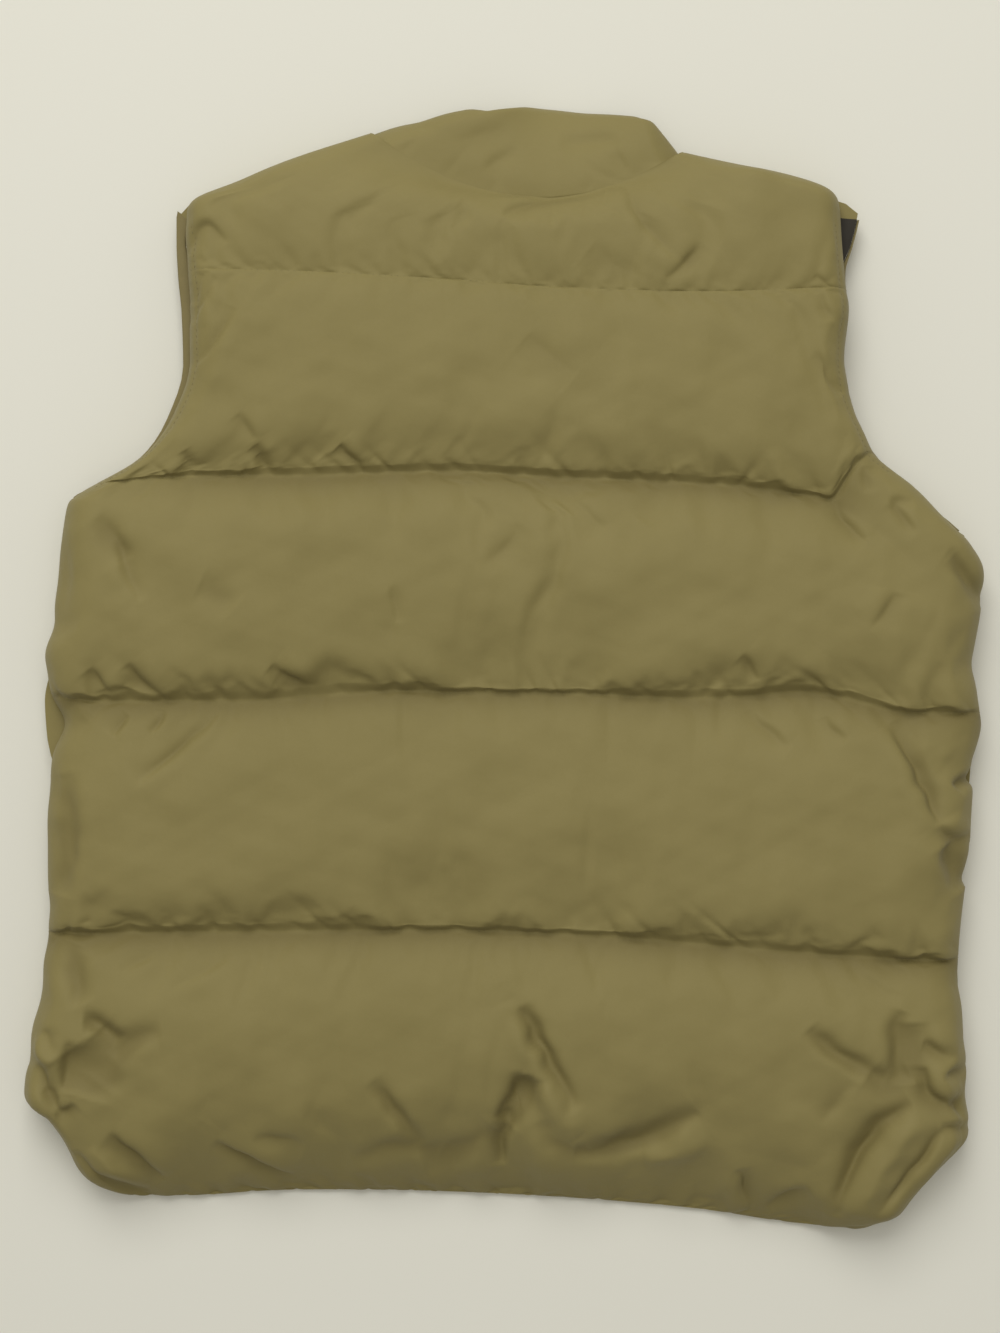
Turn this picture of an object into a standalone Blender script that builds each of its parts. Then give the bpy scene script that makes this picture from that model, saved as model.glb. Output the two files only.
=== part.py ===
"""A quilted down vest with a dropped tail, buttoned up and laid face down.

The back and its yoke lie uppermost over the two fronts, which rest on the
ground. Metres, +Z up, +Y towards the collar, and +X towards the wearer's right.
The origin is on the ground under the middle of the vest.

Every padded panel is a wall with a plain inner face and a quilted outer face.
It is lofted through sections that run from one edge of the panel to the other.
The section tables are in millimetres, because that is how a pattern is drafted.
"""

from collections import namedtuple
from math import radians

import bmesh
import bpy
import numpy as np

MM = 0.001

# Heights above the ground, from the fronts up to the back.
INNER_PLANE = 16.0 * MM  # where the fronts end and the back begins
SEAM_GAP = 0.3 * MM  # between two pieces that are sewn together
TOUCHING = 0.01 * MM  # a point lower than this lies on the ground

# The back's dropped tail slopes down from the inner plane to the ground, and the
# fronts under it slope a little sooner.
TAIL_GROUND_Y = -318 * MM
TAIL_PLANE_Y = -190 * MM
FRONT_GROUND_Y = -312 * MM
FRONT_PLANE_Y = -178 * MM

# Padding. A wall is RIM thick at its edge and FRONT_SEAM at a front's stitches.
RIM = 2.6 * MM
FRONT_SEAM = 5.0 * MM
FULLNESS = 0.6  # the power of the sine across a channel: less is fuller
FRONT_PAD = 21 * MM  # as sewn; the ground flattens it to the inner plane
FRONT_ROLL = 20 * MM

# The armholes stay a little open, most of all at their edge.
ARM_OPENING = 3.4 * MM
ARM_OPENING_REACH = 22 * MM
TAPE_WIDTH = 5.5 * MM
TAPE_LEAST_WIDTH = 1.2 * MM
TAPE_THICK = 2.4 * MM
LINING_WIDTH = 15 * MM  # at the middle of the crescent
LINING_END = 0.15  # and the share of it at the crescent's two ends
LINING_ROUND = 0.7  # the power of the sine between them
LINING_THICK = 1.0 * MM

# A tape's cross-section: the place across it, and its share of the thickness.
TapePoint = namedtuple("TapePoint", "across thick")
TAPE_PROFILE = [
    TapePoint(0.0, 0.45),
    TapePoint(0.3, 1.0),
    TapePoint(0.7, 1.0),
    TapePoint(1.0, 0.6),
]

# Press studs and the strip that carries them, down the middle of the front.
CENTRE_X = 4 * MM
FLY_WIDTH = 36 * MM
FLY_THICK = 2.0 * MM
FLY_GAP = 0.6 * MM
FLY_LOW = -259 * MM
FLY_HIGH = 226 * MM
FLY_MARGIN = 19 * MM  # the unpadded edge of each front, over the strip
NECK_MARGIN = 3 * MM
FLY_EDGE = 4.0 * MM
FLY_HEM_EDGE = 1.2 * MM
FLY_ROUNDING = 1.3 * MM  # how far in from its long edges the strip is flat
STUD_RADIUS = 6.5 * MM
STUD_HEIGHT = 2.4 * MM
STUD_RIM = 0.8 * MM
STUD_SIDES = 20
STUD_COUNT = 6
STUD_LOW = -150 * MM  # the y of the lowest and the highest
STUD_HIGH = 215 * MM

# The stand collar.
COLLAR_TOP_EDGE = 4.5 * MM
COLLAR_GAP = 0.6 * MM  # to the curved neck edge of the back
COLLAR_FOLD = 0.8 * MM  # half the slit between its two layers
COLLAR_SETTLE = 13.5 * MM  # how far its upper edge sinks behind the neck
COLLAR_LEAST_STEP = 2 * MM  # between two bands, along the neck seam
COLLAR_UP = np.array([0.0, 0.08, 0.22, 0.42, 0.62, 0.8, 0.93, 1.0])

# Spacing of the mesh, which is finer near an edge and near a line of stitches.
EDGE_STEPS = np.array([0.0, 2.5, 7.0, 14.0, 24.0]) * MM
SEAM_CROWDING = 0.75
LEAST_ROOM = 1.2  # a section's least width, in widths of its two edges' steps
BACK_COLUMNS = 42
FRONT_COLUMNS = 7
FRONT_ROWS = 9  # in each channel
FLY_ROWS = 33
FLAT_ANGLE = radians(0.3)  # faces that lie closer than this are joined
LEVEL = 0.98  # the least vertical part of a plain inside face's normal
SHARP_ANGLE = radians(45)

OLIVE = (0.235, 0.196, 0.078)
LINING = (0.030, 0.026, 0.018)
BRASS = (0.42, 0.30, 0.13)

# Sections of the back, from the hem up to the neck. Left and right are the
# section's two ends, rise is how far its middle stands above their chord, and
# roll is how far in from the edge the padding reaches its full height.
Section = namedtuple("Section", "name left_x left_y right_x right_y rise roll")
BACK_SECTIONS = [
    Section("hem", -225, -316, 215, -335.5, 11, 16),
    Section("corner_low", -245, -307, 234, -327, 10, 16),
    Section("corner_mid", -256, -293, 250, -307, 2.5, 16),
    Section("corner_high", -265, -275, 265, -288, -4.5, 16),
    Section("vent", -286.5, -253, 278, -276, -5, 18),
    Section("tail_low", -285, -229, 275, -238, -10, 22),
    Section("tail_high", -278, -190, 274, -202, -3, 26),
    Section("seam_4", -273, -158, 273, -173, 10.5, 26),
    Section("waist_low", -271, -121, 278, -118, 6, 28),
    Section("waist_high", -268, -66, 282, -68, 6, 28),
    Section("seam_3", -271, -17, 285, -26, 8.5, 26),
    Section("chest_low", -273, 10, 281, 4, 10, 28),
    Section("chest_high", -267, 53, 286.5, 53, 8, 28),
    Section("underarm", -261, 100, 279, 77, 8, 20),
    Section("seam_2", -243, 112, 222, 125, 0, 16),
    Section("arm_low", -215, 129, 216, 138, 4, 16),
    Section("arm_mid", -198, 152, 210, 152, 8, 16),
    Section("arm_high", -188, 183, 204, 183, 6, 16),
    Section("arm_top", -188, 215, 207, 215, -2, 16),
    Section("seam_1", -189, 236, 205.5, 226, -4, 16),
    Section("yoke_low", -190, 257, 203, 254, -12, 18),
    Section("shoulder_tip", -190, 277, 201.5, 283.5, -20, 18),
    Section("shoulder_low", -161, 293, 179, 295, -25.5, 22),
    Section("shoulder_high", -126, 307, 142, 302, -27, 22),
    Section("neck", -80, 321.5, 108, 310, -31, 22),
]

# Channels of the back: the sections that they run between, the thickness at
# those two, that of the padding, how far up the channel it is thickest, and how
# many rows of faces it has.
Channel = namedtuple("Channel", "lower upper low_seam high_seam pad crest rows")
PANEL_CHANNELS = [
    Channel("hem", "seam_4", 4, 5, 25, 0.62, 17),
    Channel("seam_4", "seam_3", 5, 5, 31, 0.42, 11),
    Channel("seam_3", "seam_2", 5, 5, 32, 0.42, 11),
    Channel("seam_2", "seam_1", 5, 9, 30, 0.40, 11),
]
YOKE_CHANNELS = [Channel("seam_1", "neck", 9, 14, 27, 0.42, 10)]

# The deepest folds of the back. A fold runs from one point to the other.
Fold = namedtuple("Fold", "start_x start_y end_x end_y width depth")
BACK_FOLDS = [
    Fold(12, -196, 38, -250, 11, 9),  # up the middle of the tail
    Fold(-8, -268, 8, -236, 12, 5),
    Fold(-232, -236, -196, -216, 15, 8),  # above the left vent
    Fold(-264, -232, -240, -262, 10, 5),
    Fold(-210, -282, -184, -304, 11, 6),  # at the left corner of the tail
    Fold(258, -224, 236, -240, 12, 7),  # above the right vent
    Fold(240, -262, 214, -304, 12, 8),  # at the right corner of the tail
    Fold(234, -38, 262, -92, 12, 7),  # at the right side of the waist
    Fold(-134, -242, -96, -276, 16, 4),
    Fold(110, -262, 60, -290, 18, 4),
    Fold(2, 272, 62, 276, 12, 3),  # under the neck
    Fold(80, 286, 98, 250, 12, 4),
    Fold(-170, 218, -182, 176, 11, 4),  # at the left armhole
    Fold(186, 196, 200, 170, 11, 4),  # at the right armhole
]

# Where the lie of the cloth pulls the back's seams out of their even curves.
Pull = namedtuple("Pull", "x y reach up")
BACK_PULLS = [
    Pull(122, 120, 75, -9),  # seam_2
    Pull(194, 118, 28, -20),  # and where it turns up to the right armhole
    Pull(-152, -13, 70, -4.5),  # seam_3
    Pull(178, -19, 55, 5),
    Pull(238, -22, 30, -2.5),
    Pull(148, -162, 60, -3.5),  # seam_4
]

# Sections of the two fronts. Inner_x is the centre edge, as a distance from the
# middle of the front, and then the neckline.
FrontSection = namedtuple(
    "FrontSection",
    "name left_x left_y right_x right_y inner_left inner_right inner_left_y inner_right_y",
)
FRONT_SECTIONS = [
    FrontSection("hem", -274, -258, 266, -278, 0.3, 0.3, -262, -262),
    FrontSection("hem_corner", -283, -245, 274, -262, 0.3, 0.3, -250, -250),
    FrontSection("tail_low", -285, -229, 275, -238, 0.3, 0.3, -232, -232),
    FrontSection("tail_high", -278, -190, 274, -202, 0.3, 0.3, -196, -196),
    FrontSection("seam_4", -273, -158, 273, -173, 0.3, 0.3, -160, -160),
    FrontSection("waist_low", -272, -121, 278, -118, 0.3, 0.3, -116, -116),
    FrontSection("waist_high", -273, -68, 282, -70, 0.3, 0.3, -66, -66),
    FrontSection("seam_3", -276, -17, 285, -26, 0.3, 0.3, -16, -16),
    FrontSection("chest_low", -274, 10, 281, 4, 0.3, 0.3, 14, 14),
    FrontSection("chest_high", -267, 53, 286.5, 53, 0.3, 0.3, 58, 58),
    FrontSection("underarm", -261, 100, 279, 77, 0.3, 0.3, 98, 98),
    FrontSection("seam_2", -243, 112, 243, 109, 0.3, 0.3, 114, 114),
    FrontSection("arm_low", -217, 129, 224, 129, 0.3, 0.3, 134, 134),
    FrontSection("arm_mid", -203, 150, 211, 150, 0.3, 0.3, 160, 160),
    FrontSection("arm_high", -193, 183, 204, 183, 0.3, 0.3, 185, 185),
    FrontSection("arm_top", -194, 215, 206, 215, 0.3, 0.3, 210, 210),
    FrontSection("seam_1", -196, 236, 206, 236, 0.3, 0.3, 227, 227),
    FrontSection("yoke_low", -197, 257, 209, 255, 34, 36, 233, 232),
    FrontSection("shoulder_tip", -197, 274, 213, 273, 62, 66, 250, 246),
    FrontSection("shoulder_low", -165, 290, 180, 290, 82, 88, 275, 268),
    FrontSection("shoulder_high", -128, 306, 145, 300, 88, 100, 298, 288),
    FrontSection("neck", -90, 318, 117, 307, 86.5, 102.5, 314, 302),
]
FRONT_SEAMS = ["hem", "seam_4", "seam_3", "seam_2", "seam_1", "neck"]

# Sections of the collar, from the middle of the front on the wearer's left,
# round behind the neck, to the middle of the front on the right. Turn is how
# far the band has turned over: 1 on the fronts' side and 0 on the back's side.
# Foot and pad are its thickness at the neck seam and half-way up.
Band = namedtuple("Band", "name low_x low_y top_x top_y turn out_x out_y foot pad")
COLLAR_BANDS = [
    Band("front_left_end", 3.4, 229, 3.4, 278, 1.0, -1, 0, 4, 12),
    Band("front_left_inner", -29, 235, -22, 283, 1.0, -1, 0, 4, 12),
    Band("front_left_outer", -57, 252, -38, 296, 1.0, -1, 0.2, 4, 12),
    Band("front_left_side", -76, 277, -46, 309, 1.0, -1, 0.3, 4, 12),
    Band("left_under", -82, 301, -42, 318, 1.0, -0.9, 0.5, 4, 10),
    Band("left_turn_low", -78, 314, -26, 324.5, 0.78, -0.6, 0.8, 4, 7.5),
    Band("left_turn", -76.5, 318.6, -20, 327.5, 0.5, -0.4, 0.9, 4, 7),
    Band("left_turn_high", -73, 317.4, -14, 329, 0.22, -0.3, 0.9, 5, 7.5),
    Band("left_over", -66, 313.8, -6, 331.5, 0.0, -0.3, 0.9, 8, 10),
    Band("back_left_outer", -50, 304.5, 6, 334, 0.0, 0, 1, 12, 12.5),
    Band("back_left", -22, 292.6, 16, 335.3, 0.0, 0, 1, 12.5, 13),
    Band("back", 8, 286.3, 30, 335.5, 0.0, 0, 1, 13, 13),
    Band("back_right", 42, 286.9, 50, 333.5, 0.0, 0, 1, 12.5, 13),
    Band("back_right_outer", 70, 293.7, 68, 332.3, 0.0, 0.3, 1, 12, 12.5),
    Band("right_over", 92, 303, 79, 330.5, 0.0, 0.8, 0.6, 8, 9),
    Band("right_turn_high", 100, 306.8, 80, 328.5, 0.22, 0.9, 0.5, 4, 6.5),
    Band("right_turn", 104, 308.6, 80.5, 327, 0.5, 1, 0.4, 4, 5.5),
    Band("right_turn_low", 104, 304, 79.5, 322, 0.78, 1, 0.2, 4, 6.5),
    Band("right_under", 102, 296, 77, 315, 1.0, 1, 0, 4, 9),
    Band("front_right_side", 91.5, 270, 64, 301, 1.0, 1, 0, 4, 12),
    Band("front_right_outer", 68.5, 248, 51, 288, 1.0, 1, 0, 4, 12),
    Band("front_right_inner", 38, 234, 30, 280, 1.0, 1, 0, 4, 12),
    Band("front_right_end", 4.6, 229, 4.6, 278, 1.0, 1, 0, 4, 12),
]
COLLAR_BACK_X = 18 * MM  # the middle of the neck, and how far the sinking spreads
COLLAR_BACK_SPREAD = 62 * MM
COLLAR_SINKING = (0.1, 1.05)  # where up the band it starts and would end
ON_BACK = radians(0.6)  # a band turned less than this lies on the back's side
HALF_TURNED = radians(45)  # and one turned more than this doesn't sink


def column(table, field):
    """One named column of a section table, in metres."""
    return np.array([getattr(row, field) for row in table], float) * MM


def smoothstep(x, low, high):
    t = np.clip((x - low) / (high - low), 0, 1)
    return t * t * (3 - 2 * t)


def curve_through(knots, values, at):
    """A smooth curve through the values at the knots that never overshoots them."""
    step = np.diff(knots)
    slope = np.diff(values) / step
    same_way = slope[1:] * slope[:-1] > 0
    total = np.where(same_way, slope[1:] + slope[:-1], 1)
    inner = np.where(same_way, 2 * slope[1:] * slope[:-1] / total, 0)
    tangent = np.concatenate([slope[:1], inner, slope[-1:]])
    i = np.clip(np.searchsorted(knots, at, side="right") - 1, 0, len(step) - 1)
    h = step[i]
    t = (at - knots[i]) / h
    return (
        (2 * t**3 - 3 * t**2 + 1) * values[i]
        + (t**3 - 2 * t**2 + t) * h * tangent[i]
        + (3 * t**2 - 2 * t**3) * values[i + 1]
        + (t**3 - t**2) * h * tangent[i + 1]
    )


def table_knots(table):
    """How far up the vest each section lies: the mean of its two ends' steps."""
    steps = [
        np.hypot(np.diff(column(table, f"{side}_x")), np.diff(column(table, f"{side}_y")))
        for side in ("left", "right")
    ]
    return np.concatenate([[0], np.cumsum(np.mean(steps, axis=0))])


def stations(table, knots, seams, rows):
    """Where the mesh has its rows, each one's place in its channel, and the channel.

    The rows crowd towards the seams, and each section of the table has a row.
    """
    at_seam = [knots[[row.name for row in table].index(name)] for name in seams]
    places, channels = [at_seam[:1]], [[0]]
    for number, (low, high, count) in enumerate(zip(at_seam, at_seam[1:], rows)):
        even = np.linspace(0, 1, count + 1)
        share = even - SEAM_CROWDING * np.sin(2 * np.pi * even) / (2 * np.pi)
        here = low + (high - low) * share
        for knot in knots[(knots > low) & (knots < high)]:
            nearest = 1 + np.argmin(np.abs(here[1:-1] - knot))
            here[nearest] = knot
        places.append(here[1:])
        channels.append([number] * count)
    places, channels = np.concatenate(places), np.concatenate(channels)
    low, high = np.array(at_seam)[channels], np.array(at_seam)[channels + 1]
    return places, (places - low) / (high - low), channels


def across(width, near, far, columns):
    """Places along a section, close together by its two edges, and their scale.

    Near and far are distances in from each edge, a row for each section. On a
    section too short for them they are scaled down.
    """
    width = width[:, None]
    scale = np.minimum(1, width / (LEAST_ROOM * (near[:, -1:] + far[:, -1:])))
    near, far = near * scale, far * scale
    share = np.linspace(0, 1, columns + 1)[None, 1:-1]
    middle = near[:, -1:] + (width - near[:, -1:] - far[:, -1:]) * share
    return np.concatenate([near, middle, width - far[:, ::-1]], axis=1), scale


def edge_roll(distance, radius):
    """0 at the edge, rising as a quarter of an ellipse to 1 at the radius."""
    t = np.clip(distance / radius, 0, 1)
    return np.sqrt(1 - (1 - t) ** 2)


def channel_form(share, crest):
    """0 at the two seams of a channel and 1 at its crest."""
    skew = np.log(0.5) / np.log(crest)
    return np.sin(np.pi * np.clip(share, 0, 1) ** skew).clip(0) ** FULLNESS


def back_inside(y):
    """The height of the back's inner face, which comes down to the ground in the tail."""
    return (INNER_PLANE + SEAM_GAP) * smoothstep(y, TAIL_GROUND_Y, TAIL_PLANE_Y)


def front_inside(y):
    """The height of a front's inner face, and the thickness of its edge at the middle."""
    slope = smoothstep(y, FRONT_GROUND_Y, FRONT_PLANE_Y)
    edge = FLY_HEM_EDGE + (FLY_EDGE - FLY_HEM_EDGE) * slope
    return (INNER_PLANE + SEAM_GAP) * slope - SEAM_GAP, edge


def pulled(x, y, rolled):
    """The points' y once the pulls have moved them, least of all at the edges."""
    up = np.zeros_like(x)
    for pull in BACK_PULLS:
        away = np.hypot(x - pull.x * MM, y - pull.y * MM) / (pull.reach * MM)
        up += pull.up * MM * np.exp(-(away**2))
    return y + up * rolled


def fold_depth(x, y, folds):
    """How far the folds sink the surface at each point."""
    depth = np.zeros_like(x)
    for fold in folds:
        start = np.array([fold.start_x, fold.start_y]) * MM
        run = np.array([fold.end_x, fold.end_y]) * MM - start
        length = np.hypot(*run)
        along = ((x - start[0]) * run[0] + (y - start[1]) * run[1]) / length
        aside = ((x - start[0]) * -run[1] + (y - start[1]) * run[0]) / length
        past = np.maximum(0, np.maximum(-along, along - length))
        reach = (aside**2 + past**2) / (fold.width * MM) ** 2
        depth += fold.depth * MM * np.exp(-reach)
    return depth


def fabric(name, colour, roughness, metallic=0.0):
    material = bpy.data.materials.new(name)
    material.use_nodes = True
    shader = material.node_tree.nodes["Principled BSDF"]
    shader.inputs["Base Color"].default_value = (*colour, 1)
    shader.inputs["Roughness"].default_value = roughness
    shader.inputs["Metallic"].default_value = metallic
    material.diffuse_color = (*colour, 1)
    return material


def loft(name, outer, inner, material, collection):
    """A closed wall between an outer and an inner grid of points.

    Both grids are rows x columns x 3. Each pair of rows makes one section, and
    the sections are skinned in turn and closed at both ends.
    """
    rows, columns = outer.shape[:2]
    loop = 2 * columns
    points = np.concatenate([outer, inner[:, ::-1]], axis=1).reshape(-1, 3)
    row, place = np.meshgrid(np.arange(rows - 1), np.arange(loop), indexing="ij")
    after = (place + 1) % loop
    skin = np.stack(
        [row * loop + place, row * loop + after, (row + 1) * loop + after, (row + 1) * loop + place],
        axis=-1,
    ).reshape(-1, 4)
    i = np.arange(columns - 1)
    end = np.stack([i, loop - 1 - i, loop - 2 - i, i + 1], axis=-1)
    faces = np.concatenate([skin, end, end[:, ::-1] + (rows - 1) * loop])
    mesh = bpy.data.meshes.new(name)
    mesh.from_pydata(points.tolist(), [], faces.tolist())
    mesh.validate()
    wall = bpy.data.objects.new(name, mesh)
    collection.objects.link(wall)
    mesh.materials.append(material)
    mesh.shade_smooth()
    mesh.set_sharp_from_angle(angle=SHARP_ANGLE)
    return wall


def merge_flat_faces(wall, level):
    """Joins the faces of a wall's plain inside, and those that lie on the ground.

    Level is the sign of Z that the inside faces.
    """
    mesh = bmesh.new()
    mesh.from_mesh(wall.data)
    plain = {
        face
        for face in mesh.faces
        if face.normal.z * level > LEVEL or max(vertex.co.z for vertex in face.verts) < TOUCHING
    }
    edges = [edge for edge in mesh.edges if plain.issuperset(edge.link_faces)]
    vertices = [vertex for vertex in mesh.verts if plain.issuperset(vertex.link_faces)]
    bmesh.ops.dissolve_limit(mesh, angle_limit=FLAT_ANGLE, verts=vertices, edges=edges)
    mesh.to_mesh(wall.data)
    mesh.free()


def back_grid(channels):
    """The plan of the back between two seams, and the facts of each point."""
    knots = table_knots(BACK_SECTIONS)
    seams = [channels[0].lower] + [channel.upper for channel in channels]
    rows = [channel.rows for channel in channels]
    at, share, number = stations(BACK_SECTIONS, knots, seams, rows)
    left_x, left_y, right_x, right_y, rise, roll = (
        curve_through(knots, column(BACK_SECTIONS, field), at)[:, None]
        for field in ("left_x", "left_y", "right_x", "right_y", "rise", "roll")
    )
    width = np.hypot(right_x - left_x, right_y - left_y)[:, 0]
    steps = np.tile(EDGE_STEPS, (len(at), 1))
    distance, _ = across(width, steps, steps, BACK_COLUMNS)
    u = distance / width[:, None]
    x = left_x + (right_x - left_x) * u
    y = left_y + (right_y - left_y) * u + rise * 4 * u * (1 - u)
    edge = np.minimum(distance, width[:, None] - distance)
    names = [section.name for section in BACK_SECTIONS]
    arm_low, arm_full, arm_last, arm_high = (
        knots[names.index(name)] for name in ("underarm", "arm_low", "yoke_low", "shoulder_tip")
    )
    open_arm = smoothstep(at, arm_low, arm_full) * (1 - smoothstep(at, arm_last, arm_high))
    lift = ARM_OPENING * open_arm[:, None] * np.exp(-((edge / ARM_OPENING_REACH) ** 2))
    low_seam, high_seam, pad = (
        column(channels, field)[number] for field in ("low_seam", "high_seam", "pad")
    )
    crest = np.array([channel.crest for channel in channels])[number]
    form = channel_form(share, crest)[:, None]
    at_seam = (low_seam + (high_seam - low_seam) * share)[:, None]
    padding = at_seam + (pad[:, None] - at_seam) * form
    rolled = edge_roll(edge, roll)
    return x, pulled(x, y, rolled), rolled, lift, padding, form


def make_back(name, channels, shift_low, shift_high, material, collection):
    """A quilted part of the back, from the first channel's foot to the last one's top."""
    x, y, rolled, lift, padding, form = back_grid(channels)
    y[0] += shift_low
    y[-1] -= shift_high
    inside = back_inside(y) + lift
    sunk = fold_depth(x, y, BACK_FOLDS) * form
    outside = inside + np.maximum(RIM + (padding - sunk - RIM) * rolled, RIM)
    wall = loft(name, np.dstack([x, y, outside]), np.dstack([x, y, inside]), material, collection)
    merge_flat_faces(wall, -1)
    return wall


def front_edge(side):
    """A front's stations, its outer edge at each, the way in, and the armhole tape's width."""
    knots = table_knots(FRONT_SECTIONS)
    names = [section.name for section in FRONT_SECTIONS]
    rows = [FRONT_ROWS] * (len(FRONT_SEAMS) - 1)
    at, share, _ = stations(FRONT_SECTIONS, knots, FRONT_SEAMS, rows)
    edge = np.stack(
        [curve_through(knots, column(FRONT_SECTIONS, f"{side}_{axis}"), at) for axis in "xy"],
        axis=-1,
    )
    run = np.gradient(edge, axis=0)
    run /= np.linalg.norm(run, axis=1, keepdims=True)
    inward = np.stack([run[:, 1], -run[:, 0]], axis=-1) * (1 if side == "left" else -1)
    low, full, high = (
        knots[names.index(name)] for name in ("underarm", "seam_2", "shoulder_tip")
    )
    tape = TAPE_WIDTH * smoothstep(at, low, full) * (at < high + SEAM_GAP)
    tape[tape < TAPE_LEAST_WIDTH] = 0
    return at, share, edge, inward, tape


def make_front(side, material, collection):
    """One quilted front. Its outer face is underneath and flat where it rests."""
    knots = table_knots(FRONT_SECTIONS)
    names = [section.name for section in FRONT_SECTIONS]
    at, share, edge, inward, tape = front_edge(side)
    edge = edge + inward * np.where(tape > 0, tape + SEAM_GAP, 0)[:, None]
    towards = -1 if side == "left" else 1
    inner_x = CENTRE_X + towards * curve_through(knots, column(FRONT_SECTIONS, f"inner_{side}"), at)
    inner_y = curve_through(knots, column(FRONT_SECTIONS, f"inner_{side}_y"), at)
    run = np.stack([inner_x, inner_y], axis=-1) - edge
    width = np.hypot(run[:, 0], run[:, 1])
    past_fly = smoothstep(at, knots[names.index("seam_1")], knots[names.index("yoke_low")])
    margin = FLY_MARGIN + (NECK_MARGIN - FLY_MARGIN) * past_fly[:, None]
    near = np.tile(EDGE_STEPS, (len(at), 1))
    far = np.concatenate([0 * margin, margin / 2, margin + EDGE_STEPS], axis=1)
    distance, scale = across(width, near, far, FRONT_COLUMNS)
    plan = edge[:, None] + run[:, None] * (distance / width[:, None])[..., None]
    from_side, from_centre = distance / scale, (width[:, None] - distance) / scale
    rolled = edge_roll(from_side, FRONT_ROLL) * edge_roll(from_centre - margin, FRONT_ROLL)
    top, centre_edge = front_inside(plan[..., 1])
    form = scale * channel_form(share, 0.5)[:, None]
    at_edge = np.where(from_centre < margin + EDGE_STEPS[-1], centre_edge, RIM)
    at_edge = at_edge + (FRONT_SEAM - at_edge) * rolled
    bottom = np.maximum(0, top - at_edge - (FRONT_PAD - at_edge) * form * rolled)
    upper, lower = np.dstack([plan, top]), np.dstack([plan, bottom])
    if side == "right":
        upper, lower = upper[:, ::-1], lower[:, ::-1]
    wall = loft(f"front_{side}", upper, lower, material, collection)
    merge_flat_faces(wall, 1)
    return wall


def make_armhole_tape(side, material, collection):
    """The tape that binds the front half of an armhole, beside the front's edge."""
    _, _, edge, inward, tape = front_edge(side)
    edge, inward, tape = (values[tape > 0] for values in (edge, inward, tape))
    share = np.array([point.across for point in TAPE_PROFILE])
    plan = edge[:, None] + inward[:, None] * (tape[:, None] * share)[..., None]
    bulge = TAPE_THICK / 2 * np.array([point.thick for point in TAPE_PROFILE])
    middle = INNER_PLANE - TAPE_THICK / 2
    upper = np.dstack([plan, np.broadcast_to(middle + bulge, plan.shape[:2])])
    lower = np.dstack([plan, np.broadcast_to(middle - bulge, plan.shape[:2])])
    if side == "right":
        upper, lower = upper[:, ::-1], lower[:, ::-1]
    return loft(f"armhole_tape_{side}", upper, lower, material, collection)


def make_armhole_lining(side, material, collection):
    """The dark lining inside a front, where the armhole shows it."""
    knots = table_knots(FRONT_SECTIONS)
    names = [section.name for section in FRONT_SECTIONS]
    at, _, edge, inward, tape = front_edge(side)
    lined = (at > knots[names.index("arm_low")]) & (at < knots[names.index("yoke_low")])
    edge, inward, tape = (values[lined] for values in (edge, inward, tape))
    crescent = np.sin(np.pi * np.linspace(0, 1, len(edge))) ** LINING_ROUND
    width = LINING_WIDTH * (LINING_END + (1 - LINING_END) * crescent)
    reach = tape[:, None] + SEAM_GAP + width[:, None] * np.linspace(0, 1, 4)
    plan = edge[:, None] + inward[:, None] * reach[..., None]
    bottom = np.full(plan.shape[:2], INNER_PLANE + SEAM_GAP)
    upper, lower = np.dstack([plan, bottom + LINING_THICK]), np.dstack([plan, bottom])
    if side == "right":
        upper, lower = upper[:, ::-1], lower[:, ::-1]
    return loft(f"armhole_lining_{side}", upper, lower, material, collection)


def neck_edge(x):
    """The y of the back's neck edge at x."""
    neck = BACK_SECTIONS[-1]
    u = (x / MM - neck.left_x) / (neck.right_x - neck.left_x)
    return (neck.left_y + (neck.right_y - neck.left_y) * u + neck.rise * 4 * u * (1 - u)) * MM


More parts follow.
